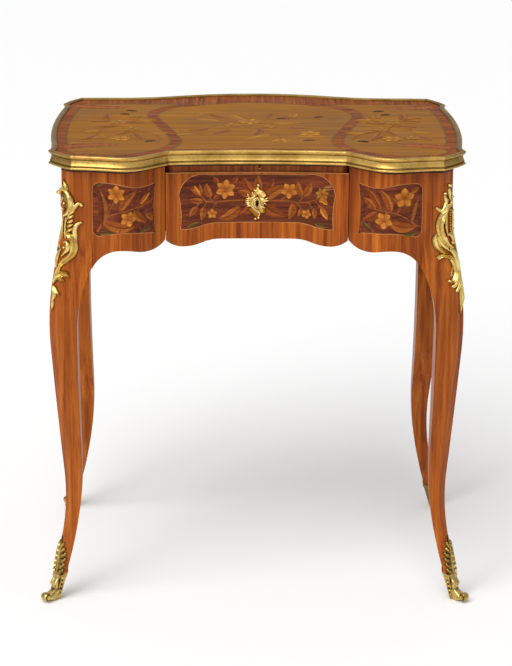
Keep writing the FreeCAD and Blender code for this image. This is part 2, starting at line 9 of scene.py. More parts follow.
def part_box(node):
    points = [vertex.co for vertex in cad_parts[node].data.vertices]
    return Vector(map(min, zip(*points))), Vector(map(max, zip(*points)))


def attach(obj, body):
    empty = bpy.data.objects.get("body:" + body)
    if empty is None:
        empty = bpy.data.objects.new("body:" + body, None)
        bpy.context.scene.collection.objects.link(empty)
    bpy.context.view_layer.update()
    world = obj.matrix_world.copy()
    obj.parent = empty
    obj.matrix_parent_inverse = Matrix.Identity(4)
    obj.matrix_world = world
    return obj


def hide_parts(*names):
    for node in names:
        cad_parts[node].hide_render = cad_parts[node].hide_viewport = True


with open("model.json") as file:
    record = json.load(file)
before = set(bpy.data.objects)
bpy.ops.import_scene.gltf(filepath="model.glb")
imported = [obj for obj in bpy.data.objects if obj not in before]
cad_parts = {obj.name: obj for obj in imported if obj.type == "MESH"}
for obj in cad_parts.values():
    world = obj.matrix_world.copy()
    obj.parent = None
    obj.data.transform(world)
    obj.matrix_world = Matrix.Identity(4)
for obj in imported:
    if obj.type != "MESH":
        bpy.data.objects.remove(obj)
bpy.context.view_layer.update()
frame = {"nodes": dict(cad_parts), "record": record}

scene = bpy.context.scene
nodes = frame["nodes"]
mm = 0.001
upward, rightward, frontward = Vector((0, 0, 1)), Vector((1, 0, 0)), Vector((0, -1, 0))
white = (1, 1, 1, 1)
# Lower rises come out darker in the gilt: painted shade with patina in its recesses.
fullRelief = 5  # the rise in millimetres that looks fully raised


# Materials

def srgb(red, green, blue):
    linear = []
    for value in (red / 255, green / 255, blue / 255):
        linear.append(value / 12.92 if value <= 0.04045 else ((value + 0.055) / 1.055) ** 2.4)
    return (*linear, 1)


def addNode(tree, kind, inputs, **settings):
    node = tree.nodes.new(kind)
    for name, value in settings.items():
        setattr(node, name, value)
    for name, value in inputs.items():
        if isinstance(value, bpy.types.NodeSocket):
            tree.links.new(value, node.inputs[name])
        else:
            node.inputs[name].default_value = value
    return node


def socketOf(tree, kind, output, inputs, **settings):
    return addNode(tree, kind, inputs, **settings).outputs[output]


def noiseAt(tree, vector, size, detail, waver=0):
    inputs = {"Vector": vector, "Scale": size, "Detail": detail, "Roughness": 0.6, "Distortion": waver}
    return socketOf(tree, "ShaderNodeTexNoise", "Fac", inputs)


def rampOf(tree, value, stops):
    node = addNode(tree, "ShaderNodeValToRGB", {"Fac": value})
    elements = node.color_ramp.elements
    while len(elements) < len(stops):
        elements.new(0.5)
    for element, (position, colour) in zip(elements, stops):
        element.position = position
        element.color = colour
    return node.outputs["Color"]


def multiplied(tree, share, first, second):
    inputs = {0: share, 6: first, 7: second}  # a mix node's factor and its two colours
    return socketOf(tree, "ShaderNodeMix", 2, inputs, data_type="RGBA", blend_type="MULTIPLY")


def spanOf(tree, value, low, high):
    inputs = {"Value": value, "From Min": 0.3, "From Max": 0.7, "To Min": low, "To Max": high}
    return socketOf(tree, "ShaderNodeMapRange", "Result", inputs)


def startMaterial(name):
    material = bpy.data.materials.new(name)
    material.use_nodes = True
    tree = material.node_tree
    place = socketOf(tree, "ShaderNodeTexCoord", "Object", {})
    return material, tree, tree.nodes["Principled BSDF"], place


def finishSurface(tree, shader, colour, rough, height, strength, depth):
    bump = {"Height": height, "Strength": strength, "Distance": depth}
    normal = socketOf(tree, "ShaderNodeBump", "Normal", bump)
    for name, value in (("Base Color", colour), ("Roughness", rough), ("Normal", normal)):
        tree.links.new(value, shader.inputs[name])


# Cross-banding: beyond a distance from the middle the grain runs the other way.
def turnedGrain(tree, place, grain, stretch, limit):
    scale = (stretch[1], stretch[0] * 0.6, stretch[2])
    other = socketOf(tree, "ShaderNodeMapping", "Vector", {"Vector": place, "Scale": scale})
    side = socketOf(tree, "ShaderNodeSeparateXYZ", "X", {"Vector": place})
    away = socketOf(tree, "ShaderNodeMath", "Value", {0: side}, operation="ABSOLUTE")
    beyond = socketOf(tree, "ShaderNodeMath", "Value", {0: away, 1: limit}, operation="GREATER_THAN")
    return socketOf(tree, "ShaderNodeMix", 1, {0: beyond, 4: grain, 5: other}, data_type="VECTOR")


woodBase = {"grain": "x", "waver": 0.3, "pores": 0.6, "rough": 0.45, "bump": 0.12, "bumpDepth": 0.0004,
            "gloss": 0.05, "coat": 0, "coatRough": 0.22}
polished = {**woodBase, "grain": "z", "across": 150, "along": 4, "patch": 5, "bands": 0.9, "pores": 0.55,
            "uneven": 0.5, "rough": 0.4, "gloss": 0.14, "coat": 0.03}
fineLine = {**woodBase, "across": 300, "along": 20, "waver": 0.2, "patch": 30, "bands": 0.2, "pores": 0.4,
            "uneven": 0.4, "bump": 0.08, "gloss": 0.2}
woodLooks = {
    "tulipwood": {**polished, "colours": ((116, 51, 9), (164, 82, 19), (193, 110, 32))},
    "legWood": {**polished, "across": 130, "bands": 0.6, "pores": 0.5, "uneven": 0.4,
                "colours": ((122, 55, 12), (162, 83, 21), (186, 106, 33))},
    # shadedRailWood: tulipwood painted darker for the shade that falls on the rail under the moulding
    "shadedRailWood": {**polished, "colours": ((98, 43, 10), (138, 69, 19), (164, 93, 30))},
    "amaranth": {**woodBase, "across": 210, "along": 7, "waver": 0.2, "patch": 16, "bands": 0.4, "uneven": 0.75,
                 "rough": 0.4, "gloss": 0.12, "coat": 0.02,
                 "colours": ((64, 23, 13), (103, 46, 25), (134, 66, 35))},
    "satinwood": {**woodBase, "across": 170, "along": 5, "waver": 0.4, "patch": 6, "bands": 0.25, "pores": 0.4,
                  "uneven": 0.7, "bump": 0.1, "colours": ((136, 85, 14), (153, 99, 20), (170, 116, 30))},
    "rosewood": {**woodBase, "across": 115, "along": 10, "waver": 0.5, "patch": 22, "bands": 0.6, "uneven": 0.6,
                 "colours": ((98, 42, 8), (142, 74, 20), (170, 98, 32))},
    "borderWood": {**woodBase, "grain": "y", "across": 200, "along": 8, "patch": 10, "turnedBeyond": 0.288,
                   "bands": 0.7, "uneven": 0.55, "colours": ((102, 46, 10), (142, 74, 20), (168, 96, 32))},
    "tongueWood": {**woodBase, "grain": "y", "across": 220, "along": 9, "patch": 12, "bands": 0.7,
                   "uneven": 0.5, "colours": ((104, 46, 10), (142, 74, 20), (166, 94, 32))},
    "inlay": {**fineLine, "along": 16, "waver": 0.4, "patch": 40, "pores": 0.5, "rough": 0.42, "bump": 0.1,
              "gloss": 0.06, "inlaid": True, "colours": ((186, 180, 172), (226, 222, 216), (250, 248, 244))},
    "box": {**fineLine, "rough": 0.42, "colours": ((152, 96, 46), (182, 124, 64), (200, 146, 84))},
    # ebonyAndShadow: ebony for the dark lines round the top's fields, and the colour of the painted shadow
    # under the moulding
    "ebonyAndShadow": {**fineLine, "colours": ((44, 22, 14), (62, 32, 20), (84, 46, 28))},
    "shadowGap": {**fineLine, "rough": 0.7, "gloss": 0.05, "colours": ((16, 8, 6), (24, 12, 8), (34, 18, 12))},
    "oak": {**woodBase, "grain": "y", "across": 120, "along": 5, "waver": 0.4, "patch": 6, "bands": 0.4,
            "pores": 0.8, "uneven": 0.5, "rough": 0.62, "bump": 0.3, "gloss": 0.3,
            "colours": ((112, 74, 40), (152, 108, 64), (176, 134, 86))},
}
woodTones = {"pores": [(0.36, (0.62, 0.55, 0.5, 1)), (0.5, white)],
             "uneven": [(0.3, (0.72, 0.68, 0.66, 1)), (0.7, (1.16, 1.12, 1.06, 1))],
             "bands": [(0.35, (0.74, 0.66, 0.62, 1)), (0.65, (1.14, 1.16, 1.18, 1))]}


# Wood: long streaks along the grain, fine pores, slow changes of tone, and a worn polish over it.
def makeWood(name, look):
    material, tree, shader, place = startMaterial(name)
    stretch = [look["along"] if axis == look["grain"] else look["across"] for axis in "xyz"]
    grain = socketOf(tree, "ShaderNodeMapping", "Vector", {"Vector": place, "Scale": stretch})
    if "turnedBeyond" in look:
        grain = turnedGrain(tree, place, grain, stretch, look["turnedBeyond"])
    streaks = noiseAt(tree, grain, 1, 4, look["waver"])
    noises = {"pores": noiseAt(tree, grain, 7, 3), "uneven": noiseAt(tree, place, look["patch"], 2),
              "bands": noiseAt(tree, grain, 0.4, 2)}
    dark, middle, light = (srgb(*colour) for colour in look["colours"])
    colour = rampOf(tree, streaks, [(0.3, dark), (0.5, middle), (0.7, light)])
    for key, noise in noises.items():
        colour = multiplied(tree, look[key], colour, rampOf(tree, noise, woodTones[key]))
    if look.get("inlaid"):
        tint = socketOf(tree, "ShaderNodeAttribute", "Color", {}, attribute_name="tint")
        colour = multiplied(tree, 1, tint, colour)
    rough = spanOf(tree, noises["uneven"], look["rough"] - 0.06, look["rough"] + 0.08)
    finishSurface(tree, shader, colour, rough, noises["pores"], look["bump"], look["bumpDepth"])
    shader.inputs["Coat Weight"].default_value = look["coat"]
    shader.inputs["Coat Roughness"].default_value = look["coatRough"]
    shader.inputs["Specular IOR Level"].default_value = look["gloss"]
    return material


metalBase = {"patch": 60, "speck": 380, "grime": 0.6, "rough": 0.3, "bump": 0.15, "bumpDepth": 0.0006,
             "grimeTint": (0.55, 0.48, 0.4, 1)}
metalLooks = {
    "gilt": {**metalBase, "patch": 40, "speck": 420, "rough": 0.32, "bump": 0.18,
             "dull": (200, 158, 72), "bright": (238, 204, 112)},
    "giltEdge": {**metalBase, "patch": 30, "speck": 300, "grime": 0.35, "rough": 0.4, "bump": 0.06,
                 "dull": (180, 142, 72), "bright": (216, 178, 98), "recess": (96, 70, 40)},
    "giltRelief": {**metalBase, "grime": 0.5, "bump": 0.2,
                   "dull": (206, 170, 92), "bright": (244, 220, 140), "recess": (128, 96, 56)},
    # giltFoot: darker gilt for the feet, and a darker recess colour for deeper painted shade
    "giltFoot": {**metalBase, "grime": 0.7, "bump": 0.25,
                 "dull": (168, 138, 80), "bright": (222, 194, 120), "recess": (70, 50, 30)},
    # giltKeyPaintedLight: gilt painted brighter for the light the front-facing escutcheon catches
    "giltKeyPaintedLight": {**metalBase, "grime": 0.4,
                "dull": (240, 200, 112), "bright": (255, 234, 160), "recess": (150, 110, 64)},
    "brass": {**metalBase, "patch": 50, "speck": 500, "rough": 0.38,
              "dull": (170, 132, 66), "bright": (204, 166, 88)},
    "steel": {**metalBase, "speck": 600, "grime": 0.7, "rough": 0.4,
              "dull": (96, 92, 88), "bright": (150, 148, 144)},
}


# Metal: fire gilding worn and darkened in patches, or plain brass and steel. Where a mesh carries a relief, its
# recesses are darkened too: patina together with painted shade.
def makeMetal(name, look):
    material, tree, shader, place = startMaterial(name)
    patches = noiseAt(tree, place, look["patch"], 4)
    specks = noiseAt(tree, place, look["speck"], 3)
    colour = rampOf(tree, patches, [(0.34, srgb(*look["dull"])), (0.6, srgb(*look["bright"]))])
    grime = rampOf(tree, specks, [(0.34, look["grimeTint"]), (0.5, white)])
    colour = multiplied(tree, look["grime"], colour, grime)
    # painted shade with patina: the recess colour darkens the low parts of a cast
    if "recess" in look:
        relief = socketOf(tree, "ShaderNodeAttribute", "Fac", {}, attribute_name="relief")
        shade = rampOf(tree, relief, [(0.05, srgb(*look["recess"])), (0.6, white)])
        colour = multiplied(tree, 1, colour, shade)
    rough = spanOf(tree, specks, look["rough"] + 0.1, look["rough"] - 0.06)
    finishSurface(tree, shader, colour, rough, specks, look["bump"], look["bumpDepth"])
    shader.inputs["Metallic"].default_value = 1
    return material


looks = {name: makeWood(name, look) for name, look in woodLooks.items()}
looks.update({name: makeMetal(name, look) for name, look in metalLooks.items()})
slotLooks = {"gilt_bronze": "gilt", "border_wood": "borderWood"}  # other slots share their look's name
ownLooks = {"drawer_rail": "shadedRailWood", **{name: "legWood" for name in nodes if name.startswith("leg_")}}
for subpart in frame["record"]["subparts"]:
    name, slot = subpart["node"], subpart["material_slot"]
    mesh = nodes[name].data
    mesh.materials.clear()
    mesh.materials.append(looks[ownLooks.get(name, slotLooks.get(slot, slot))])
print("materials:", len(looks))


# Meshes

def newShape(chart=None):
    return {"chart": chart, "points": [], "faces": [], "tints": [], "reliefs": []}


def addPiece(name, shape, look, body="table", replaced=None, sharpAngle=30):
    mesh = bpy.data.meshes.new(name)
    mesh.from_pydata(shape["points"], [], shape["faces"])
    mesh.update()
    mesh.shade_smooth()
    mesh.set_sharp_from_angle(angle=math.radians(sharpAngle))
    if shape.get("tints"):
        attribute = mesh.color_attributes.new("tint", "FLOAT_COLOR", "POINT")
        attribute.data.foreach_set("color", [value for tint in shape["tints"] for value in tint])
    if shape.get("reliefs"):
        attribute = mesh.attributes.new("relief", "FLOAT", "POINT")
        attribute.data.foreach_set("value", shape["reliefs"])
    mesh.materials.append(looks[look])
    piece = bpy.data.objects.new(name, mesh)
    scene.collection.objects.link(piece)
    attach(piece, body)
    if replaced:
        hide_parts(replaced)


def keyOf(point):
    return tuple(round(value * 1e6) for value in point)


# The edges of a CAD node that a test picks, joined into runs of points. The test gets an edge's ends
# and the normals of its faces.
def edgeRuns(name, wanted):
    mesh = nodes[name].data
    places, borders = {}, {}
    for face in mesh.polygons:
        keys = [keyOf(mesh.vertices[corner].co) for corner in face.vertices]
        for key, corner in zip(keys, face.vertices):
            places[key] = mesh.vertices[corner].co.copy()
        for pair in zip(keys, keys[1:] + keys[:1]):
            borders.setdefault(tuple(sorted(pair)), []).append(face.normal.copy())
    links = {}
    for (first, second), normals in borders.items():
        if first != second and wanted(places[first], places[second], normals):
            links.setdefault(first, []).append(second)
            links.setdefault(second, []).append(first)
    runs = []
    while links:
        here = next((key for key in links if len(links[key]) == 1), next(iter(links)))
        keys = [here]
        while links.get(here):
            there = links[here].pop()
            links[there].remove(here)
            if not links[here]:
                del links[here]
            keys.append(there)
            here = there
        links = {key: ends for key, ends in links.items() if ends}
        runs.append([places[key] for key in keys])
    return runs


def longestRun(name, wanted):
    return max(edgeRuns(name, wanted), key=len)


def arcPoints(centre, radius, start, end, count):
    turns = [math.radians(start + (end - start) * step / count) for step in range(count + 1)]
    return [(centre[0] + radius * math.cos(turn), centre[1] + radius * math.sin(turn)) for turn in turns]


# Twice the area inside a ring, below zero where it runs clockwise.
def ringArea(ring):
    return sum(a[0] * b[1] - b[0] * a[1] for a, b in zip(ring, ring[1:] + ring[:1]))


# Sideways steps of a run at each point, longer in a corner so that both edges keep their width.
def sideSteps(path, normal, closed):
    steps = []
    last = len(path) - 1
    for place, point in enumerate(path):
        before = path[place - 1] if place or closed else None
        after = path[(place + 1) % len(path)] if place < last or closed else None
        sides = []
        for start, end in ((before, point), (point, after)):
            if start is not None and end is not None:
                sides.append(normal.cross(end - start).normalized())
        steps.append(sum(sides, Vector()) / (1 + sides[0].dot(sides[-1]) if len(sides) > 1 else 1))
    return steps


# A band of faces between two rings of points.
def bandFaces(here, there, wide):
    ahead = [*range(1, wide), 0]
    return [(here + place, here + beside, there + beside, there + place) for place, beside in enumerate(ahead)]


# A closed profile of (sideways, upwards) carried along a path.
def carriedProfile(path, normal, steps, profile, closed):
    points, faces = [], []
    wide = len(profile)
    for point, step in zip(path, steps):
        points += [point + step * (side * mm) + normal * (up * mm) for side, up in profile]
    for row in range(len(path) if closed else len(path) - 1):
        faces += bandFaces(row * wide, (row + 1) % len(path) * wide, wide)
    if not closed:
        faces.append(tuple(reversed(range(wide))))
        faces.append(tuple(range(len(points) - wide, len(points))))
    return {"points": points, "faces": faces}


# Rows of beads, pins and screws: a node group strings one small dome along each path it is given.
beadRow = {"segments": 10, "rings": 6, "uneven": 0.12, "seed": 7}


def makeRowTree():
    tree = bpy.data.node_groups.new("beadRow", "GeometryNodeTree")
    for name, kind in (("Path", "Geometry"), ("Count", "Int"), ("Size", "Float"), ("Uneven", "Float"),
                       ("Seed", "Int"), ("Metal", "Material")):
        tree.interface.new_socket(name, in_out="INPUT", socket_type="NodeSocket" + kind)
    tree.interface.new_socket("Beads", in_out="OUTPUT", socket_type="NodeSocketGeometry")
    given = tree.nodes.new("NodeGroupInput").outputs
    curve = socketOf(tree, "GeometryNodeMeshToCurve", "Curve", {"Mesh": given["Path"]})
    spots = socketOf(tree, "GeometryNodeResampleCurve", "Curve", {"Curve": curve, "Count": given["Count"]})
    form = {"Segments": beadRow["segments"], "Rings": beadRow["rings"], "Radius": given["Size"]}
    bead = socketOf(tree, "GeometryNodeMeshUVSphere", "Mesh", form)
    least = socketOf(tree, "ShaderNodeMath", "Value", {0: 1.0, 1: given["Uneven"]}, operation="SUBTRACT")
    span = {2: least, 3: 1.0, "Seed": given["Seed"]}
    sizes = socketOf(tree, "FunctionNodeRandomValue", 1, span, data_type="FLOAT")
    strung = {"Points": spots, "Instance": bead, "Scale": sizes}
    beads = socketOf(tree, "GeometryNodeInstanceOnPoints", "Instances", strung)
    for kind in ("RealizeInstances", "SetShadeSmooth"):
        beads = socketOf(tree, "GeometryNode" + kind, "Geometry", {"Geometry": beads})
    metal = addNode(tree, "GeometryNodeSetMaterial", {"Geometry": beads, "Material": given["Metal"]})
    addNode(tree, "NodeGroupOutput", {"Beads": metal.outputs["Geometry"]})
    return tree


rowTree = makeRowTree()


def addRow(name, paths, count, size, look, body="table"):
    points, edges = [], []
    for path in paths:
        edges += [(len(points) + place, len(points) + place + 1) for place in range(len(path) - 1)]
        points += path
    mesh = bpy.data.meshes.new(name + "_path")
    mesh.from_pydata(points, edges, [])
    piece = bpy.data.objects.new(name, mesh)
    scene.collection.objects.link(piece)
    modifier = piece.modifiers.new("beadRow", "NODES")
    modifier.node_group = rowTree
    given = {"Count": count, "Size": size * mm, "Uneven": beadRow["uneven"], "Seed": beadRow["seed"],
             "Metal": looks[look]}
    for item in rowTree.interface.items_tree:
        if item.name in given:
            modifier[item.identifier] = given[item.name]
    solid = bpy.data.meshes.new_from_object(piece.evaluated_get(bpy.context.evaluated_depsgraph_get()))
    piece.modifiers.clear()
    piece.data = solid
    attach(piece, body)


def surfaceOf(*names):
    points, faces = [], []
    for name in names:
        mesh = nodes[name].data
        base = len(points)
        points += [vertex.co.copy() for vertex in mesh.vertices]
        faces += [[base + corner for corner in face.vertices] for face in mesh.polygons]
    return BVHTree.FromPolygons(points, faces)


# Edge moulding: bead, fine ridge, cove and a round lip, carried round the top. Its lengths are named in order
# with their number of pins. A spot of the profile is (inwards, up, how raised and lit it looks); low values
# paint shade, with the gilt's patina, into the grooves, up the cove and down the inner fall of the lip.
moulding = {"lengths": {"front_centre": 3, "front_right": 3, "side_right": 5, "back": 5, "side_left": 5,
                        "front_left": 3},
            "ringRise": 3.9, "thick": 9, "high": 22.2, "arcSteps": 8,
            "bead": 1.9, "beadArc": (270, 80), "lip": 2.3, "lipArc": (240, 90),
            "ridge": [(3.2, 4.1, 0), (3.2, 4.4, 0), (2, 4.7, 0.9), (1.8, 5.3, 0.9), (3.1, 5.6, 0),
                      (3.1, 5.9, 0)],
            "cove": 4.2, "coveDeep": 2.4, "coveFrom": 6.3, "coveStep": 1.4, "coveSteps": 6, "coveShade": 0.09,
            "groove": [(4.8, 15, 0), (4.8, 15.7, 0), (2.4, 16, 0.3)],
            "lipFall": [(6, 0.4, 0.7), (7.6, 1.2, 0.6)], "lipHigh": 1.7,
            # painted shade: the side lengths are painted darker, as they catch less light
            "paintedSideShade": {"side_left": 0.45, "side_right": 0.45},
            "pinIn": 3.4, "pinUp": 11, "pin": 1.1, "pinSpare": 8}
# The painted shadow under the moulding: a dark strip's height, steps and reach.
shadowStrip = {"tall": 7.2, "step": 3, "leap": 0.006, "reach": 0.04, "deep": 0.6, "proud": 0.25}


def mouldingProfile():
    bead, lip, high, count = (moulding[key] for key in ("bead", "lip", "high", "arcSteps"))
    profile = [(moulding["thick"], 0, 0)]
    profile += [(*spot, 1) for spot in arcPoints((bead, bead), bead, *moulding["beadArc"], count)]
    profile += moulding["ridge"]
    for step in range(moulding["coveSteps"] + 1):
        inward = moulding["cove"] - moulding["coveDeep"] * (1 - step / moulding["coveSteps"]) ** 2
        up = moulding["coveFrom"] + step * moulding["coveStep"]
        # painted shade: the cove grows darker towards its top
        profile.append((inward, up, 1 - moulding["coveShade"] * step))
    profile += moulding["groove"]
    profile += [(*spot, 0.9) for spot in arcPoints((lip, high - lip), lip, *moulding["lipArc"], count)]
    profile += [(inward, high - down, raisedAndLit) for inward, down, raisedAndLit in moulding["lipFall"]]
    return profile + [(moulding["thick"], high - moulding["lipHigh"], 0.4)]


# Painted shadow under a length: a dark strip laid on whatever wood stands below it, for the shade under the
# moulding.
def addShadowStrip(name, path, sides, turn):
    surface = surfaceOf(*[node for node in nodes if node.startswith(("apron_", "leg_", "drawer_rail"))])
    tall, deep, proud = shadowStrip["tall"], shadowStrip["deep"], shadowStrip["proud"]
    drop = upward * (tall / 2 * mm)
    stations = []
    for place in range(len(path) - 1):
        parts = math.ceil((path[place + 1] - path[place]).length / (shadowStrip["step"] * mm))
        for part in range(parts):
            stations.append([ends[place].lerp(ends[place + 1], part / parts) for ends in (path, sides)])
    stations.append([path[-1], sides[-1]])
    runs = [[]]
    for point, side in stations:
        way = side.normalized()
        hit, normal, face, depth = surface.ray_cast(point - drop, way, shadowStrip["reach"])
        if hit is None:
            continue
        if runs[-1] and abs(depth - runs[-1][-1][2]) > shadowStrip["leap"]:
            runs.append([])
        runs[-1].append((hit + drop, way, depth))
    profile = [(deep, -tall), (-proud, -tall), (-proud, 0), (deep, 0)]
    if turn > 0:
        profile.reverse()
    shape = newShape()
    for run in runs:
        if len(run) > 1:
            spots, ways, depths = zip(*run)
            strip = carriedProfile(spots, upward, ways, profile, False)
            base = len(shape["points"])
            shape["points"] += strip["points"]
            shape["faces"] += [[base + corner for corner in face] for face in strip["faces"]]
    if shape["points"]:
        # painted shadow: the strip takes the dark ebony colour
        addPiece("shadow_strip_" + name, shape, "ebonyAndShadow")


def addMoulding():
    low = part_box("moulding_back")[0].z
    ringHigh = low + moulding["ringRise"] * mm

    def onRing(start, end, normals):
        return max(abs(start.z - ringHigh), abs(end.z - ringHigh)) < 2e-5

    chains = [longestRun("moulding_" + name, onRing) for name in moulding["lengths"]]
    for chain, after in zip(chains, chains[1:] + chains[:1]):
        ends = (after[0], after[-1])
        if min((chain[-1] - end).length for end in ends) > min((chain[0] - end).length for end in ends):
            chain.reverse()
    ring, spans = [], []
    for chain in chains:
        spans.append((len(ring), len(ring) + len(chain) - 1))
        ring += chain[:-1]
    turn = ringArea(ring)
    steps = sideSteps(ring, upward if turn > 0 else -upward, True)
    profile = mouldingProfile()
    if turn > 0:
        profile.reverse()
    for (name, pins), (start, end) in zip(moulding["lengths"].items(), spans):
        places = [place % len(ring) for place in range(start, end + 1)]
        path = [Vector((ring[place].x, ring[place].y, low)) for place in places]
        sides = [steps[place] for place in places]
        shape = carriedProfile(path, upward, sides, [spot[:2] for spot in profile], False)
        # painted shade: the side lengths' relief is lowered so they come out darker
        shape["reliefs"] = [spot[2] * moulding["paintedSideShade"].get(name, 1) for spot in profile] * len(path)
        addPiece("edge_" + name, shape, "giltEdge", replaced="moulding_" + name, sharpAngle=38)
        inward, up = moulding["pinIn"] * mm, upward * (moulding["pinUp"] * mm)
        row = [point + side * inward + up for point, side in zip(path, sides)]
        inner = len(path) // moulding["pinSpare"]
        addRow("pins_" + name, [row[inner:len(row) - inner]], pins, moulding["pin"], "brass")
        addShadowStrip(name, path, sides, turn)
    print("edge moulding:", len(ring), "points round the top")


addMoulding()


# Charts: from a place in millimetres across and up to a point of the CAD's surface and the way out of it.

def flatChart(height):
    return lambda across, along: (Vector((across * mm, along * mm, height)), upward)


# Where a cast from a metre away misses, the chart takes the point nearest to a place over the surface.
def castChart(surface, right, shift=0, blend=0, overSurface=0.6):
    aim = Vector((-right.y, right.x, 0))

    def chart(across, up):
        start = right * (across * mm + shift) + Vector((0, 0, up * mm)) - aim
        hit, normal = surface.ray_cast(start, aim)[:2]
        if hit is None:
            hit, normal = surface.find_nearest(start + aim * overSurface)[:2]
        return hit, (normal - aim * blend).normalized()
    return chart


def smoothPath(controls, count):
    controls = [Vector(point) for point in controls]
    ends = [controls[0] * 2 - controls[1], *controls, controls[-1] * 2 - controls[-2]]
    path = []
    for step in range(count + 1):
        place = step / count * (len(controls) - 1)
        first = min(int(place), len(controls) - 2)
        share = place - first
        a, b, c, d = ends[first:first + 4]
        path.append(0.5 * (2 * b + (c - a) * share + (2 * a - 5 * b + 4 * c - d) * share ** 2
                           + (3 * b - a - 3 * c + d) * share ** 3))
    return path


# A blade follows a spine over a shape's chart: a leaf, petal, stem, scroll or bead, closed underneath.
def addBlade(shape, spine, width, rise, steps, across, sink, tint=None):
    path = smoothPath(spine, steps)
    base = len(shape["points"])
    wide = across + 1
    top, under = [], []
    for row, point in enumerate(path):
        ahead = path[min(row + 1, steps)] - path[max(row - 1, 0)]
        side = Vector((-ahead.y, ahead.x)).normalized()
        share = row / steps
        for column in range(wide):
            offset = column / across * 2 - 1
            spot = point + side * (offset * width(share) / 2)
            place, out = shape["chart"](spot.x, spot.y)
            lift = rise(share, offset)
            top.append(place + out * (lift * mm))
            under.append(place - out * (sink * mm))
            if tint:
                shape["tints"].append((*tint(share, offset), 1))
            else:
                shape["reliefs"].append(lift / fullRelief)
    shape["points"] += top + under
    if tint:
        shape["tints"] += shape["tints"][-len(top):]
    else:
        shape["reliefs"] += [0.0] * len(under)
    floor = base + len(top)
    for row in range(steps):
        for column in range(across):
            first = row * wide + column
            corners = [first, first + wide, first + wide + 1, first + 1]
            shape["faces"].append([base + corner for corner in corners])
            shape["faces"].append([floor + corner for corner in reversed(corners)])
    rim = [row * wide for row in range(steps + 1)]
    rim += [steps * wide + column for column in range(1, wide)]
    rim += [row * wide + across for row in range(steps - 1, -1, -1)]
    rim += range(across - 1, 0, -1)
    for here, there in zip(rim, rim[1:] + rim[:1]):
        shape["faces"].append([base + there, base + here, floor + here, floor + there])


def leafWidth(wide):
    return lambda share: 0.1 + wide * math.sin(math.pi * share ** 0.8) ** 0.85


def petalWidth(wide):
    return lambda share: 0.1 + 0.2 * wide * (1 - share) + wide * math.sin(math.pi * share ** 1.3) ** 0.9


def roundWidth(wide):
    return lambda share: 0.05 + wide * math.sqrt(max(0, 1 - (2 * share - 1) ** 2))


# Lock: screws at the corners of its case, and a brass pin in the rail over the keyhole with a slot above it,
# drawn as a dark sheet of painted shadow on the rail.
lockFittings = {"screwInset": 6, "screw": 2.4, "aside": 4, "pinUp": 5, "pin": 1.7,
                "slotDown": 1, "slotWide": 2.2, "slotTaper": 0.6, "slotRise": 0.05}
railLow, railHigh = (corner.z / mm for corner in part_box("drawer_rail"))
railChart = castChart(surfaceOf("drawer_rail"), rightward)


def addScrews():
    low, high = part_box("lock_case")
    inset = lockFittings["screwInset"] * mm
    ends = (low.x + inset, high.x - inset)
    rows = [[Vector((side, high.y, level)) for side in ends] for level in (low.z + inset, high.z - 3 * inset)]
    addRow("lock_screws", rows, 2, lockFittings["screw"], "brass", "drawer")
    ends = (railLow + lockFittings["pinUp"], railHigh - lockFittings["slotDown"])
    spine = [(lockFittings["aside"], up) for up in ends]
    hit = railChart(*spine[0])[0]
    addRow("rail_pin", [[hit, hit + upward * (0.1 * mm)]], 1, lockFittings["pin"], "gilt")
    slot = newShape(railChart)
    addBlade(slot, spine, lambda share: lockFittings["slotWide"] - lockFittings["slotTaper"] * share,
             lambda share, offset: lockFittings["slotRise"], 6, 4, 0.4)
    addPiece("rail_slot", slot, "shadowGap")


# Rail ends: rounded blocks that turn back from the rail's face into the notch at each end.
railEnd = {"middle": 138.2, "wide": 9.6, "inner": 132.6, "backAt": -141, "turnBack": 16, "clear": 0.3,
           "trim": 0.2}


def addRailEnds():
    ends = (railLow + railEnd["trim"], railHigh - railEnd["trim"])

    def back(across, up):
        return Vector((across, railEnd["backAt"], up)) * mm, frontward

    for name, way in (("left", -1), ("right", 1)):
        front = railChart(way * railEnd["inner"], (railLow + railHigh) / 2)[0].y / mm
        reach = railEnd["backAt"] - front - railEnd["clear"]

        def rise(share, offset):
            return reach - railEnd["turnBack"] * ((1 - way * offset) / 2) ** 2

        spine = [(way * railEnd["middle"], up) for up in ends]
        shape = newShape(back)
        addBlade(shape, spine, lambda share: railEnd["wide"], rise, 4, 10, 0.4)
        # painted shade: the ends take the rail's wood, painted darker for shade
        addPiece("rail_end_" + name, shape, "shadedRailWood", sharpAngle=40)


addScrews()
addRailEnds()
print("lock screws, rail pin and rail ends set")


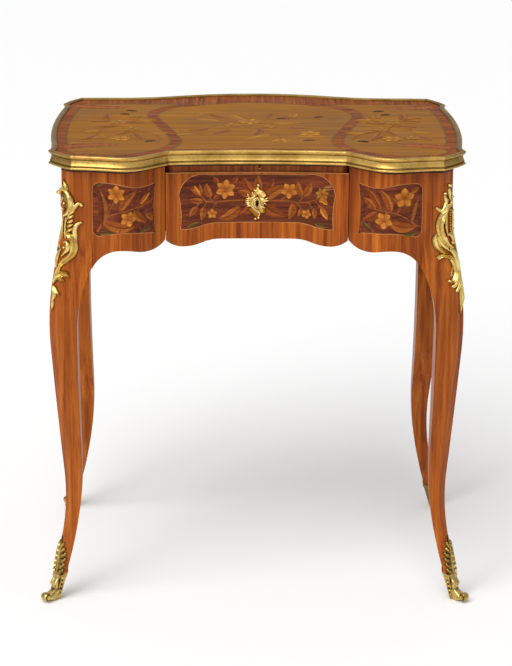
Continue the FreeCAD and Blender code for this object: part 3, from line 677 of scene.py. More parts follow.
# Corner mounts: a pair of casts of scrolls and leaves that wrap the corner, each on two legs.
# A strand is a spine of (across, down) from the cast's top, with its width, its rise and its form, or round.
corners = {"front_left": (-1, -1), "front_right": (1, -1), "back_right": (1, 1), "back_left": (-1, 1)}
cornerMount = {
    "top": 692, "blend": 0.8, "outer": 8, "outerRise": 0.5, "knobRise": 1.1,
    "first": [
        ([(6, 17), (3, 9), (-3, -1)], 9, 4.5, "leaf"), ([(-1, 17), (-4, 10), (-5, 4)], 5, 3.5, "leaf"),
        ([(-12, 20), (-7, 15), (1, 15), (9, 19), (13, 27), (14, 36), (12, 44), (6, 52), (-2, 56)], 7, 7),
        # the wide low leaf from (-4, 22) fills the hollow of the C; its low rise paints it dark, as painted
        # shadow
        ([(-4, 22), (3, 36), (2, 50)], 14, 0.6, "leaf"),
        ([(8, 57), (14, 47), (18, 39), (22, 34), (25, 36)], 6, 5),
        ([(24, 64), (19.5, 68), (17.5, 75), (18, 84), (19, 96)], 6, 5),
        ([(3, 58), (2.5, 74), (4, 91)], 4.5, 4.5), ([(-4, 57), (-5, 72), (-4, 92)], 3.5, 3),
        ([(0, 84), (8, 83), (15, 89), (17.5, 99), (17.5, 109), (15, 117), (9, 125), (2, 133), (-6, 149)],
         10, 6, "channel"),
        ([(1, 98), (8, 96), (11.5, 103), (9, 111), (1, 119)], 5.5, 5.5),
        ([(-4, 108), (-8, 121), (-8, 138)], 6.5, 4.5),
        ([(-10, 165), (-6, 154), (1, 148), (9, 146), (16, 151)], 14, 5, "leaf"),
        ([(0, 151), (6, 154), (11, 156)], 6.5, 5.5, "leaf"),
        ([(2, 147), (8, 143), (14, 143)], 6.5, 5.5, "leaf"), ([(-10, 166), (-3, 173), (7, 178)], 10, 5, "leaf"),
        ([(-9, 168), (-5, 180), (-7, 192)], 9.5, 4.5, "leaf"),
        ([(-8, 186), (-7, 195), (-8, 206)], 7, 4, "leaf"), ([(9, 52), (14, 49), (17.5, 45)], 4, 6.5),
        ([(8, 59), (13, 56), (16, 52)], 4, 6.5), ([(8, 66), (13, 63), (15.5, 59)], 4, 6.5),
        ([(8, 73), (12, 70), (15, 66)], 4, 6.5), ([(8, 80), (12, 77), (15, 73)], 4, 6.5),
    ],
    "firstKnobs": [(0, 36, 5), (-3, 46, 6), (5, 105, 5.5), (25.3, 37, 4.5), (24.3, 64, 4.5), (-9, 20, 8)],
    "second": [
        ([(-2, 10), (-1, 20), (0, 32)], 8, 4.5, "leaf"), ([(-12, 20), (-10, 28), (-8, 37)], 5, 4),
        ([(5, 27), (4, 33), (0, 39)], 5, 4), ([(-5, 27), (-9, 34), (-12, 41), (-16, 44.5), (-21, 40)], 6.5, 5),
        ([(7, 37), (-3, 39), (-10, 45), (-15, 56), (-17, 67), (-16, 80), (-12, 92), (-6, 100), (3, 107)],
         10, 6, "channel"),
        ([(-6, 50), (-8, 62), (-8, 74), (-4, 86)], 4, 4), ([(-5, 82), (2, 87), (6, 96)], 6, 5),
        ([(7, 46), (7.5, 64), (7, 90)], 4, 3.5),
        ([(-20, 78), (-22, 88), (-21, 98), (-18, 106), (-12, 112), (-4, 114)], 9, 5, "leaf"),
        ([(-19, 86), (-15, 98), (-7, 108)], 5, 5),
        ([(-21, 120), (-16, 116), (-10, 117), (-4, 122), (0, 131), (1, 141), (-2, 150), (-6, 156), (-10, 155)],
         8, 6, "channel"),
        ([(-4, 106), (4, 114), (8, 128), (10, 146)], 11, 5),
        ([(10, 134), (6, 150), (-1, 161), (-7, 165)], 7, 5), ([(12, 144), (8, 160), (0, 174)], 7, 5),
        ([(12, 152), (12, 172), (10, 190), (5, 208)], 12, 5.5, "leaf"),
    ],
    "secondKnobs": [(-2, 6, 6.5), (-12, 17, 5), (5, 25, 5.5), (-21, 40, 4), (4, 98, 6), (-10, 155, 5.5),
        (-19, 119, 4.5)],
    "pearls": {"path": [(1.5, 46), (2, 66), (2, 86)], "size": 1.6, "count": 11, "rise": 2},
}
# A channel's low middle and a strand's low edges come out darker: painted shade with patina.
castForm = {"channel": (0.72, -0.28), "leaf": (0.68, 0.32), "ends": (0.12, 0.76), "edge": 0.3, "across": 8,
            "bossEdge": 0.2, "bossGrid": (6, 6), "sink": 1, "sharp": 60}


def swell(share):
    return 0.55 + 0.45 * math.sin(math.pi * share)


def crossForm(form, offset):
    if form == "round":
        return math.sqrt(max(0, 1 - offset ** 2))
    level, wave = castForm[form]
    return math.sqrt(max(0, 1 - offset ** 4)) * (level + wave * math.cos(2 * math.pi * offset))


def addScroll(shape, spine, wide, high, form="round"):
    start, span = castForm["ends"]

    def width(share):
        return leafWidth(wide)(share) if form == "leaf" else wide * swell(start + span * share)

    def rise(share, offset):
        return castForm["edge"] + high * swell(share) * crossForm(form, offset)

    addBlade(shape, spine, width, rise, 8 + 4 * len(spine), castForm["across"], castForm["sink"])


def addBoss(shape, spot, size, high):
    spine = [(spot[0], spot[1] - size / 2), (spot[0], spot[1] + size / 2)]

    def rise(share, offset):
        flat = max(0, 1 - (2 * share - 1) ** 2)
        return high * math.sqrt(flat * max(0, 1 - offset ** 2)) + castForm["bossEdge"]

    addBlade(shape, spine, roundWidth(size), rise, *castForm["bossGrid"], castForm["sink"])


def addCast(name, shape, look, node, body="table"):
    addPiece(name, shape, look, body, node, castForm["sharp"])


# A corner's leg, the way out of it, the way to the right, a node's middle that way, and a chart of the leg.
def legAt(corner, node):
    out = Vector((*corners[corner], 0)).normalized()
    right = Vector((-out.y, out.x, 0))
    low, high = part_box(node)
    shift = ((low + high) / 2).dot(right)
    leg = surfaceOf("leg_" + corner)
    return leg, out, right, shift, castChart(leg, right, shift, cornerMount["blend"])


# A leg takes its own cast whole and, on the side away from it, the outer strands of the other.
def addCornerMount(corner):
    own = "first" if corners[corner][0] == corners[corner][1] else "second"
    chart = legAt(corner, "mount_" + corner)[-1]
    top = cornerMount["top"]
    shape = newShape(chart)
    for cast, away in (("first", 1), ("second", -1)):
        for spine, wide, tall, *form in cornerMount[cast]:
            points = [(side, top - down) for side, down in spine]
            if cast == own:
                addScroll(shape, points, wide, tall, *form)
            elif away * sum(side for side, down in spine) > cornerMount["outer"] * len(spine):
                addScroll(shape, points, wide, tall * cornerMount["outerRise"], *form)
        if cast == own:
            for side, down, size in cornerMount[cast + "Knobs"]:
                addBoss(shape, (side, top - down), size, size * cornerMount["knobRise"])
    addCast("rocaille_" + corner, shape, "giltRelief", "mount_" + corner)
    if own == "second":
        pearls = cornerMount["pearls"]
        path = [chart(side, top - down) for side, down in pearls["path"]]
        path = [place + normal * (pearls["rise"] * mm) for place, normal in path]
        addRow("beads_" + corner, [path], pearls["count"], pearls["size"], "gilt")


for corner in corners:
    addCornerMount(corner)
print("corner mounts:", len(corners), "casts")


# Sabots: a fluted cuff round the foot with a scrolled toe, an acanthus leaf up the corner and two rows of
# beads. The scroll is its reach, its half width, its radius and its height. A hump of the cuff is where it
# lies and how far it spreads, in degrees from the corner and then in millimetres up; the beads lie in its
# channel. A ridge or a shadow is its size, its angle and its spread, the rim its rise, how far it lies under
# the collar and its spread.
sabot = {
    "collar": 45, "scallop": 3, "levels": 30, "around": 72, "thick": 1.6, "sole": 4.4, "tuck": 2.2,
    "toe": 21, "backToe": 7, "legBack": 0.09, "castFrom": 0.08, "scroll": (18.4, 8, 7.2, 9.8),
    "leaf": ([(0, 40), (0, 66), (0, 105)], 9, 3.6, "leaf"), "tipSize": 3, "tipRise": 2.6,
    "lobes": [(96, 6), (88, 8.5), (80, 10.5), (71, 10.5), (62, 9.5), (53, 9)], "lobe": (6.5, 3.6, "leaf"),
    "bead": 2, "beadLevels": (9, 16, 23, 30, 37), "knuckle": 6,
    "ridges": [(1.3, 20, 7), (0.78, 84, 6)], "rim": (1.2, 3, 2.4), "shadow": (0.6, 180, 70),
    "humps": {"knuckle": (12, 34, 29, 6), "toe": (0, 30, 8.6, 8.2), "hollow": (42, 9, 31, 12),
              "channel": (67, 10, 22, 20), "groove": (0, 60, 19, 2.4)},
}


def hump(value, middle, spread):
    return math.exp(-((value - middle) / spread) ** 2)


# How far the cuff stands off the leg at an angle from the corner and a height, and how raised and lit it looks,
# with shade painted into its hollow, groove and bead channel and round its back.
def cuffForm(angle, high, toe):
    turned = abs(angle)
    humps = {}
    for name, (middle, spread, level, tall) in sabot["humps"].items():
        humps[name] = hump(turned, middle, spread) * hump(high, level, tall)
    hollow, channel, groove = humps["hollow"], humps["channel"], humps["groove"]
    lift = sabot["thick"] + sum(tall * hump(turned, *ridge) for tall, *ridge in sabot["ridges"])
    rim, below, spread = sabot["rim"]
    lift += rim * hump(high, sabot["collar"] - below, spread)
    lift += sabot["knuckle"] * humps["knuckle"] + toe * humps["toe"]
    # painted shade: darker in the hollow, the groove and the bead channel, and round the back of the cuff
    behind, *place = sabot["shadow"]
    shade = hollow + 0.7 * groove + channel + behind * hump(turned, *place)
    return lift - 1.2 * hollow - 0.8 * groove - channel, max(0, 0.85 - shade)


# A rolled scroll end, by its middle and its three half axes in millimetres. The last runs through the eyes.
def addRoll(shape, middle, axes, wide=16, rows=14):
    base = len(shape["points"])
    last = base + (rows - 2) * wide
    for row in range(1, rows):
        tilt = math.pi * row / rows
        level, full = math.cos(tilt), math.sin(tilt) ** 0.6
        for place in range(wide):
            turn = 2 * math.pi * place / wide
            ways = (full * math.cos(turn), full * math.sin(turn), level)
            shape["points"].append(middle + sum((axis * (way * mm) for axis, way in zip(axes, ways)), Vector()))
        # painted shade with patina: the roll darkens in its eyes and in two rings beside its middle, where a
        # curl's hollows lie
        eye = max(0, 0.9 - hump(abs(level), 0.84, 0.12) - 0.8 * hump(abs(level), 0.3, 0.1))
        shape["reliefs"] += [eye] * wide
    for here in range(base, last, wide):
        shape["faces"] += bandFaces(here, here + wide, wide)
    shape["points"] += [middle + axes[2] * (end * mm) for end in (1, -1)]
    shape["reliefs"] += [0.8, 0.8]
    bottom = len(shape["points"]) - 1
    for place in range(wide):
        beside = (place + 1) % wide
        shape["faces"].append([bottom - 1, base + beside, base + place])
        shape["faces"].append([bottom, last + place, last + beside])


def addSabot(corner):
    leg, out, right, shift, chart = legAt(corner, "sabot_" + corner)
    toe = sabot["toe"] if out.y < 0 else sabot["backToe"]

    def around(angle, level):
        inside = Vector((0, 0, max(level, sabot["sole"]) * mm)) + right * shift
        outer = leg.ray_cast(inside + out, -out)[0]
        inner = leg.ray_cast(outer - out * sabot["legBack"], out)[0]
        way = out * math.cos(math.radians(angle)) + right * math.sin(math.radians(angle))
        hit = leg.ray_cast((outer + inner) / 2 + way * sabot["castFrom"], -way)[0]
        lift, raisedAndLit = cuffForm(angle, level, toe)
        hit = hit + way * ((lift - sabot["tuck"] * hump(level, 0, 2.5)) * mm)
        return Vector((hit.x, hit.y, level * mm)), raisedAndLit

    shape = newShape(chart)
    wide, levels = sabot["around"], sabot["levels"]
    for step in range(levels + 1):
        for place in range(wide):
            angle = 360 * place / wide - 180
            edge = sabot["collar"] + sabot["scallop"] * math.cos(math.radians(4 * angle))
            point, raisedAndLit = around(angle, edge * step / levels)
            shape["points"].append(point)
            shape["reliefs"].append(raisedAndLit)
    for step in range(levels):
        shape["faces"] += bandFaces(step * wide, (step + 1) * wide, wide)
    shape["faces"].append(list(reversed(range(wide))))
    shape["faces"].append(list(range(levels * wide, (levels + 1) * wide)))
    reach, half, radius, rise = sabot["scroll"]
    tip = around(0, rise)[0] - out * ((sabot["toe"] - reach) * mm)
    addRoll(shape, tip, (upward * radius, out * radius, -right * half))
    addScroll(shape, *sabot["leaf"])
    for side in (1, -1):
        for tall, reach in sabot["lobes"]:
            spine = [(1.5, tall - 12), (reach * 0.6, tall - 7), (reach, tall - 2), (reach, tall)]
            addScroll(shape, [(side * across, up) for across, up in spine], *sabot["lobe"])
            addBoss(shape, (side * reach, tall - 1), sabot["tipSize"], sabot["tipRise"])
    addCast("acanthus_" + corner, shape, "giltFoot", "sabot_" + corner)
    levels, angle = sabot["beadLevels"], sabot["humps"]["channel"][0]
    rows = [[around(side * angle, level)[0] for level in levels] for side in (1, -1)]
    addRow("beads_foot_" + corner, rows, len(levels), sabot["bead"], "gilt")


for corner in corners:
    addSabot(corner)
print("sabots:", len(corners), "feet")


# Escutcheon: rocaille cast round the keyhole, drawn as (across, up) from the keyhole.
escutcheon = {
    "keyHigh": 649, "plate": (9.5, 1.4), "flute": (3, 3.6), "knobRise": 0.8,
    "plates": [[(0, 17), (-6, 8), (-7, -2), (-4, -12), (0, -21)],
               [(1, 20), (6, 10), (6.5, 0), (6, -10), (2, -19)]],
    "flutes": [((-9, 5.5), (-17, 6.5)), ((-9, 3), (-18, 3.4)), ((-9.3, 0.5), (-18, 0.4)),
        ((-9, -2), (-17.5, -2.6)), ((-8.5, -4.5), (-16, -5.6)), ((11, 5), (18, 8)), ((12, 3), (19, 3.5)),
        ((10, 0), (15.5, -3))],
    "scrolls": [
        ([(1, 27), (0.5, 20), (3, 13)], 8, 3, "leaf"), ([(-5, 21), (-1, 18), (2, 13)], 3.5, 4.5),
        ([(0, 24), (4, 20), (7, 15)], 3.5, 4.5), ([(1, 17), (7, 15.5), (12.5, 10)], 11, 5),
        ([(-8, 17), (-6, 13.5), (-2, 13)], 3, 4),
        ([(-14.5, 13), (-13.5, 9.5), (-9.5, 7.6), (-5, 9.5), (-3, 13)], 3.6, 5),
        ([(1, 8), (-4.5, 5.5), (-7.2, -1), (-5, -8), (0.5, -14)], 3.4, 5),
        ([(0.5, 5.5), (-2.8, 3.4), (-4.2, -1), (-2.6, -6.5), (1.5, -11)], 2.6, 4),
        ([(0.5, 8), (3.6, 4), (4.2, -1), (7, -5.5), (13, -8)], 3.6, 5),
        ([(0, 5), (-2.6, 2), (-2.4, -3), (-1, -9)], 2.8, 2), ([(0, 5), (2.6, 2), (2.4, -3), (1.5, -9)], 2.8, 2),
        ([(5, 5), (10, 4), (15, 2.5)], 7, 4),
        ([(-12.5, -9), (-7, -14), (-2, -18.5), (1.5, -23)], 4.5, 5, "channel"),
        ([(2, -12), (8, -12), (14, -9)], 5.5, 4, "leaf"), ([(3, -14), (9, -14), (14, -16.5)], 6.5, 4, "leaf"),
        ([(1, -13), (4, -18), (2, -23)], 4, 4),
    ],
    "knobs": [((1.7, 28), 6), ((-2.6, -26), 5), ((2.4, -24.3), 5.5), ((-14.3, 13), 3.6)],
}


def addEscutcheon():
    chart = castChart(surfaceOf("drawer_front", "drawer_panel"), rightward)
    key = escutcheon["keyHigh"]
    strands = [(spine, *escutcheon["plate"]) for spine in escutcheon["plates"]]
    strands += [(spine, *escutcheon["flute"]) for spine in escutcheon["flutes"]]
    shape = newShape(chart)
    for spine, *form in strands + escutcheon["scrolls"]:
        addScroll(shape, [(across, key + up) for across, up in spine], *form)
    for (across, up), size in escutcheon["knobs"]:
        addBoss(shape, (across, key + up), size, size * escutcheon["knobRise"])
    # painted light: the escutcheon takes the brightened copy of the gilt
    addCast("rocaille_escutcheon", shape, "giltKeyPaintedLight", "escutcheon", "drawer")


addEscutcheon()
print("escutcheon cast")


# Marquetry: leaves, petals and stems of thin inlay, each laid on what the CAD has there.
# A stem is spine and width. A leaf is root, tip, width, tone and bend. A bloom is centre, radius, petals, tone
# and turn. A tone is its light side and its shaded side.
tones = {
    "honey": ((186, 108, 48), (160, 86, 36)), "amber": ((238, 156, 66), (198, 114, 46)),
    "yellow": ((220, 152, 62), (190, 116, 44)), "rust": ((170, 90, 42), (142, 72, 34)),
    "pale": ((196, 142, 84), (170, 112, 62)), "green": ((130, 104, 50), (98, 78, 38)),
    "brown": ((168, 98, 52), (120, 64, 32)), "dark": ((84, 44, 26), (60, 32, 20)),
    "straw": ((204, 142, 30), (182, 122, 22)), "umber": ((176, 108, 18), (152, 90, 12)),
    "gold": ((228, 160, 26), (198, 130, 18)), "russet": ((184, 104, 32), (150, 80, 24)),
}
inlay = {"first": 0.05, "layer": 0.004, "sink": 0.3,  # each piece lies a hair over the one before
         "leafGrid": (12, 8), "vein": 0.1, "veinTone": 0.55, "stem": 2.3, "stemTaper": 0.5, "stemShade": 0.3,
         "petalGrid": (10, 6), "petal": 1.2, "oddPetal": 0.82, "heartGrid": (8, 6), "heart": 0.2,
         "heartWide": 0.42, "heartTone": 0.7}


def toneOf(name):
    return [srgb(*colour)[:3] for colour in tones[name]]


def addInlaid(shape, spine, width, lift, steps, across, tint):
    addBlade(shape, spine, width, lambda share, offset: lift, steps, across, inlay["sink"], tint)


def layer(shape):
    shape["layer"] = shape.get("layer", 0) + 1
    return inlay["first"] + shape["layer"] * inlay["layer"]


def addLeaf(shape, root, tip, wide, tone, bend=0):
    root, tip = Vector(root), Vector(tip)
    middle = (root + tip) / 2 + Vector((root.y - tip.y, tip.x - root.x)).normalized() * bend
    light, dark = toneOf(tone)
    vein = [value * inlay["veinTone"] for value in dark]

    def tint(share, offset):
        return vein if abs(offset) < inlay["vein"] else light if offset < 0 else dark

    addInlaid(shape, [root, middle, tip], leafWidth(wide), layer(shape), *inlay["leafGrid"], tint)


def addStem(shape, spine, wide, tone):
    light, dark = toneOf(tone)

    def width(share):
        return inlay["stem"] * wide * (1 - inlay["stemTaper"] * share)

    addInlaid(shape, spine, width, layer(shape), 8 * len(spine), 4,
              lambda share, offset: dark if offset > inlay["stemShade"] else light)


def addBloom(shape, centre, radius, petals, tone, turn=0):
    light, dark = toneOf(tone)
    wide = inlay["petal"] * radius * math.sin(math.pi / petals)
    for petal in range(petals):
        angle = turn + 2 * math.pi * petal / petals
        way = Vector((math.cos(angle), math.sin(angle)))
        fresh = 1 if petal % 2 else inlay["oddPetal"]

        def tint(share, offset):
            blend = min(1, max(0, share * 1.4 - 0.2))
            edge = 1 - 0.5 * abs(offset) ** 5
            return [(low + (high - low) * blend) * edge * fresh for low, high in zip(dark, light)]

        spine = [Vector(centre) + way * (radius * share) for share in (0.06, 0.5, 1)]
        addInlaid(shape, spine, petalWidth(wide), layer(shape), *inlay["petalGrid"], tint)
    heart = [value * inlay["heartTone"] for value in dark]
    spine = [(centre[0], centre[1] + radius * share) for share in (-inlay["heart"], inlay["heart"])]
    addInlaid(shape, spine, roundWidth(radius * inlay["heartWide"]), layer(shape), *inlay["heartGrid"],
              lambda share, offset: heart)


def addInlay(name, chart, sprays, body="table"):
    shape = newShape(chart)
    for spray in sprays:
        for stem in spray["stems"]:
            addStem(shape, *stem, spray["stemTone"])
        for leaf in spray["leaves"]:
            addLeaf(shape, *leaf)
        for bloom in spray["blooms"]:
            addBloom(shape, *bloom)
    addPiece(name, shape, "inlay", body)


drawerSpray = {
    "stemTone": "brown",
    "stems": [([(-10, 652), (-45, 651), (-70, 649), (-90, 655)], 1.6), ([(-70, 649), (-74, 658)], 1.3),
        ([(-80, 651), (-90, 662)], 1.3), ([(-62, 650), (-70, 638)], 1.2), ([(-78, 650), (-84, 640)], 1.2),
        ([(-86, 652), (-96, 640)], 1.2), ([(12, 652), (45, 652), (72, 650), (95, 655)], 1.6),
        ([(66, 651), (72, 660)], 1.3), ([(60, 651), (70, 640)], 1.2), ([(80, 651), (86, 640)], 1.2),
        ([(90, 653), (101, 640)], 1.2), ([(35, 652), (50, 662)], 1.3)],
    "leaves": [((0, 655), (-22, 690), 15, "rust", 3), ((0, 660), (2, 693), 14, "honey"),
        ((4, 655), (26, 688), 15, "rust", -3), ((6, 652), (50, 676), 17, "honey", 3),
        ((6, 648), (46, 626), 17, "rust", -3), ((-6, 648), (-28, 628), 13, "rust", 3),
        ((-6, 654), (-30, 668), 12, "honey", -2), ((-72, 657), (-79, 680), 12, "honey", 2),
        ((-84, 651), (-106, 654), 10, "honey", 1), ((-93, 643), (-105, 626), 9, "honey", -1),
        ((-83, 642), (-87, 620), 10, "honey", 1), ((-26, 642), (-60, 622), 16, "honey", 4),
        ((-90, 617), (-110, 609), 8, "green", 1), ((-88, 660), (-98, 677), 6, "amber", 1),
        ((-90, 660), (-104, 671), 6, "honey", -1), ((-86, 662), (-90, 680), 5, "honey"),
        ((-60, 678), (-68, 690), 8, "rust"), ((-38, 680), (-30, 691), 8, "rust"),
        ((-60, 660), (-68, 654), 7, "rust"), ((70, 659), (63, 683), 11, "honey", 2),
        ((72, 659), (84, 682), 12, "honey", -2), ((96, 654), (110, 646), 9, "amber", 2),
        ((56, 648), (50, 622), 12, "honey", 2), ((94, 648), (106, 640), 9, "rust", 1),
        ((99, 640), (110, 622), 9, "amber", 1), ((90, 616), (110, 610), 8, "green", -1),
        ((104, 674), (120, 678), 4, "pale"), ((104, 670), (118, 672), 3, "pale"),
        ((70, 640), (64, 626), 7, "honey"), ((88, 640), (90, 622), 8, "honey", 1)],
    "blooms": [((-49, 670), 16, 6, "amber", 0.4), ((-70, 631), 8, 5, "amber", 0.3),
        ((50, 668), 13, 5, "amber", 0.9), ((101, 663), 10.5, 7, "yellow", 0.2),
        ((77, 631), 8, 5, "amber", 1.1)],
}
leftSpray = {
    "stemTone": "brown",
    "stems": [([(-248, 613), (-232, 637), (-210, 646), (-186, 652)], 1.8),
        ([(-232, 637), (-226, 652), (-219, 664)], 1.4), ([(-205, 647), (-190, 640), (-180, 634)], 1.4),
        ([(-190, 651), (-175, 660)], 1.3)],
    "leaves": [((-238, 622), (-243, 682), 15, "brown", -3), ((-212, 648), (-186, 678), 13, "honey", 3),
        ((-238, 628), (-188, 622), 17, "honey", -4), ((-186, 652), (-162, 660), 11, "rust", 2),
        ((-190, 648), (-172, 626), 12, "honey", -2), ((-180, 656), (-166, 672), 7, "amber", 1),
        ((-172, 640), (-162, 626), 8, "honey", 1), ((-244, 610), (-222, 612), 8, "green", 1),
        ((-182, 612), (-164, 616), 6, "green", 1), ((-248, 686), (-236, 690), 4, "green")],
    "blooms": [((-217, 674), 14.5, 6, "amber", 0.5), ((-199, 635), 12.5, 5, "amber", 1.2)],
}
rightSpray = {
    "stemTone": "brown",
    "stems": [([(247, 622), (226, 638), (205, 646), (170, 650)], 1.8), ([(214, 643), (220, 655)], 1.4),
        ([(200, 646), (194, 640)], 1.4)],
    "leaves": [((236, 630), (247, 668), 14, "brown", 3), ((206, 648), (188, 682), 13, "honey", -3),
        ((204, 630), (246, 622), 17, "honey", -4), ((182, 648), (164, 664), 12, "honey", -2),
        ((186, 646), (164, 628), 12, "rust", 2), ((190, 650), (166, 682), 10, "rust", -2),
        ((176, 616), (162, 626), 7, "green", 1), ((226, 610), (248, 614), 8, "green", -1),
        ((214, 660), (204, 672), 8, "rust"), ((236, 676), (248, 686), 7, "honey")],
    "blooms": [((226, 669), 16, 5, "amber", 0.3), ((195, 633), 13.5, 5, "amber", 0.9)],
}
drawerSurface = surfaceOf("drawer_panel", "drawer_front")
addInlay("inlay_drawer", castChart(drawerSurface, rightward), [drawerSpray], "drawer")
frontSurface = surfaceOf("panel_front_left", "panel_front_right", "apron_front_left", "apron_front_right")
addInlay("inlay_front", castChart(frontSurface, rightward), [leftSpray, rightSpray])
print("front marquetry laid")


# Stringing: thin lines of wood along the outlines of the veneers. A line is its width and its inset.
stringing = {
    "panels": {"drawer_panel": "drawer", "panel_front_left": "table", "panel_front_right": "table"},
    "fields": ("top_left_field", "top_centre_field", "top_right_field"),
    "pale": (1.1, -0.3), "dark": (0.9, 0.2), "second": (0.5, 2.6), "proud": 0.06, "deep": 0.3,
    "drawerEdge": [(0, 0.08), (-1.4, 0.08), (-1.4, -0.3), (0, -0.3)],
}


def addLine(name, path, out, line, look, body="table"):
    if (path[0] - path[-1]).length < 1e-5:
        path = path[:-1]
    across = rightward if abs(out.x) < 0.5 else Vector((0, -out.x, 0))
    up = out.cross(across)
    if ringArea([(point.dot(across), point.dot(up)) for point in path]) < 0:
        path.reverse()
    (wide, inset), high, low = stringing[line], stringing["proud"], -stringing["deep"]
    profile = [(inset, low), (inset + wide, low), (inset + wide, high), (inset, high)]
    shape = carriedProfile(path, out, sideSteps(path, out, True), profile, True)
    addPiece(name, shape, look, body)


def addStringing():
    top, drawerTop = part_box("top_border")[1].z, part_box("drawer_front")[1].z

    def onTop(start, end, normals):
        return min(start.z, end.z) > top - 1e-5 and sum(normal.z > 0.9 for normal in normals) == 1

    def onFront(start, end, normals):
        facing = sum(normal.y < -0.3 for normal in normals)
        return facing == 1 and len(normals) == 2 and min(abs(normal.y) for normal in normals) < 0.1

    def onEdge(start, end, normals):
        turned = max(normal.z for normal in normals) > 0.9 and min(normal.y for normal in normals) < -0.5
        return turned and min(start.z, end.z) > drawerTop - 1e-5

    for name in stringing["fields"]:
        run = longestRun(name, onTop)
        addLine("line_" + name, run, upward, "dark", "ebonyAndShadow")
        addLine("second_line_" + name, run, upward, "second", "ebonyAndShadow")
    for name, body in stringing["panels"].items():
        addLine("line_" + name, longestRun(name, onFront), frontward, "pale", "box", body)
    run = longestRun("drawer_front", onEdge)
    if run[0].x > run[-1].x:
        run.reverse()
    steps = sideSteps(run, frontward, False)
    profile = stringing["drawerEdge"]
    if steps[0].z > 0:
        profile = [(-side, up) for side, up in reversed(profile)]
    shape = carriedProfile(run, frontward, steps, profile, False)
    addPiece("line_drawer_top", shape, "box", "drawer")
    print("stringing: 10 lines")


addStringing()


# Marquetry of the top, low in contrast: tongues in the corners and a spray in each field.
topSpray = {
    "stemTone": "umber",
    "stems": [([(-120, -20), (-85, -8), (-40, 10), (-14, 26)], 2),
        ([(-70, 40), (-30, 34), (10, 20), (60, -10)], 2),
        ([(-95, -60), (-60, -40), (-20, 0), (30, -20), (80, -52)], 2), ([(-20, 0), (30, -60), (38, -98)], 1.8),
        ([(0, 35), (45, 58), (100, 68)], 1.8), ([(-30, 20), (-60, 70), (-95, 80)], 1.8)],
    "leaves": [((34, 50), (58, 58), 9, "dark", 3), ((96, 62), (114, 68), 9, "dark", 2),
        ((72, -104), (94, -100), 9, "dark", 2), ((-75, -15), (-110, -35), 16, "umber", 4),
        ((-40, -30), (-70, -62), 18, "umber", -4), ((-60, 38), (-98, 52), 18, "straw", 4),
        ((-50, 60), (-76, 92), 16, "umber", 3), ((5, -20), (-8, -68), 18, "umber", 4),
        ((45, -15), (90, -18), 16, "umber", -3), ((30, 20), (72, 24), 16, "straw", 3),
        ((20, 55), (28, 92), 15, "umber", -3), ((60, 64), (70, 92), 14, "straw", 3),
        ((-20, 45), (-42, 84), 16, "straw", 3), ((20, -60), (-18, -98), 16, "straw", 3),
        ((60, -70), (112, -78), 14, "straw", 3), ((100, -50), (124, -34), 12, "umber", 2),
        ((-100, -58), (-128, -70), 14, "straw", -2)],
    "blooms": [((-10, 32), 20, 7, "gold", 0.3), ((86, -54), 18, 6, "gold", 0.5),
        ((38, -104), 15, 6, "gold", 0.1), ((-38, 6), 15, 6, "straw", 0.8), ((-90, 78), 13, 5, "straw", 0.2),
        ((24, -2), 14, 5, "straw", 1)],
}
fieldSpray = {
    "stemTone": "umber",
    "stems": [([(-270, 60), (-240, 40), (-215, -10), (-190, -60)], 2),
        ([(-225, 10), (-190, 40), (-170, 70)], 1.8), ([(-228, 20), (-250, -30), (-255, -80)], 1.8),
        ([(-205, -30), (-165, -60), (-150, -95)], 1.8)],
    "leaves": [((-214, 111), (-195, 106), 9, "dark", 2), ((-222, 86), (-206, 80), 9, "dark", 2),
        ((-176, -112), (-158, -108), 9, "dark", 2), ((-236, 36), (-268, 30), 16, "umber", 3),
        ((-222, 0), (-258, -8), 16, "umber", 3), ((-215, 20), (-180, 26), 16, "umber", -3),
        ((-238, 45), (-240, 90), 15, "umber", 3), ((-190, 42), (-160, 38), 14, "straw", 2),
        ((-250, -34), (-278, -50), 15, "straw", 2), ((-205, -34), (-222, -66), 15, "umber", 3),
        ((-172, -56), (-140, -50), 14, "straw", -2), ((-255, -70), (-276, -100), 14, "umber", 2),
        ((-195, -54), (-180, -100), 15, "umber", -3)],
    "blooms": [((-222, 26), 15, 6, "straw", 0.4), ((-214, -92), 17, 6, "gold", 0.1),
        ((-200, -24), 15, 6, "straw", 0.7), ((-246, -84), 13, 6, "straw", 0.4),
        ((-196, 66), 12, 5, "straw", 0)],
}
tongues = {"spines": [[(-300, -150), (-270, -140), (-240, -135), (-212, -138)],
                      [(-298, 146), (-268, 138), (-236, 136), (-204, 142)]],
           "outer": (30, 0.05), "core": (13, 0.07), "tone": "russet"}


# A spray turned over from the left to the right.
def crossed(spray):
    turned = {"stemTone": spray["stemTone"], "leaves": [], "blooms": []}
    turned["stems"] = [([(-x, y) for x, y in spine], wide) for spine, wide in spray["stems"]]
    for root, tip, wide, tone, *bend in spray["leaves"]:
        turned["leaves"].append(((-root[0], root[1]), (-tip[0], tip[1]), wide, tone, -sum(bend)))
    for centre, radius, petals, tone, turn in spray["blooms"]:
        turned["blooms"].append(((-centre[0], centre[1]), radius, petals, tone, math.pi - turn))
    return turned


def addTongues(name, chart, key, look):
    wide, lift = tongues[key]
    colour = toneOf(tongues["tone"])[0]
    shape = newShape(chart)
    for side in (1, -1):
        for spine in tongues["spines"]:
            points = [(side * x, y) for x, y in spine]
            addInlaid(shape, points, lambda share: 0.2 + wide * (1 - share ** 2) ** 0.8, lift, 24, 6,
                      lambda share, offset: colour)
    addPiece(name, shape, look)


topChart = flatChart(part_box("top_border")[1].z)
addTongues("tongues_top", topChart, "outer", "tongueWood")
addTongues("tongue_cores_top", topChart, "core", "inlay")
addInlay("inlay_top", topChart, [topSpray, fieldSpray, crossed(fieldSpray)])
print("top marquetry laid")


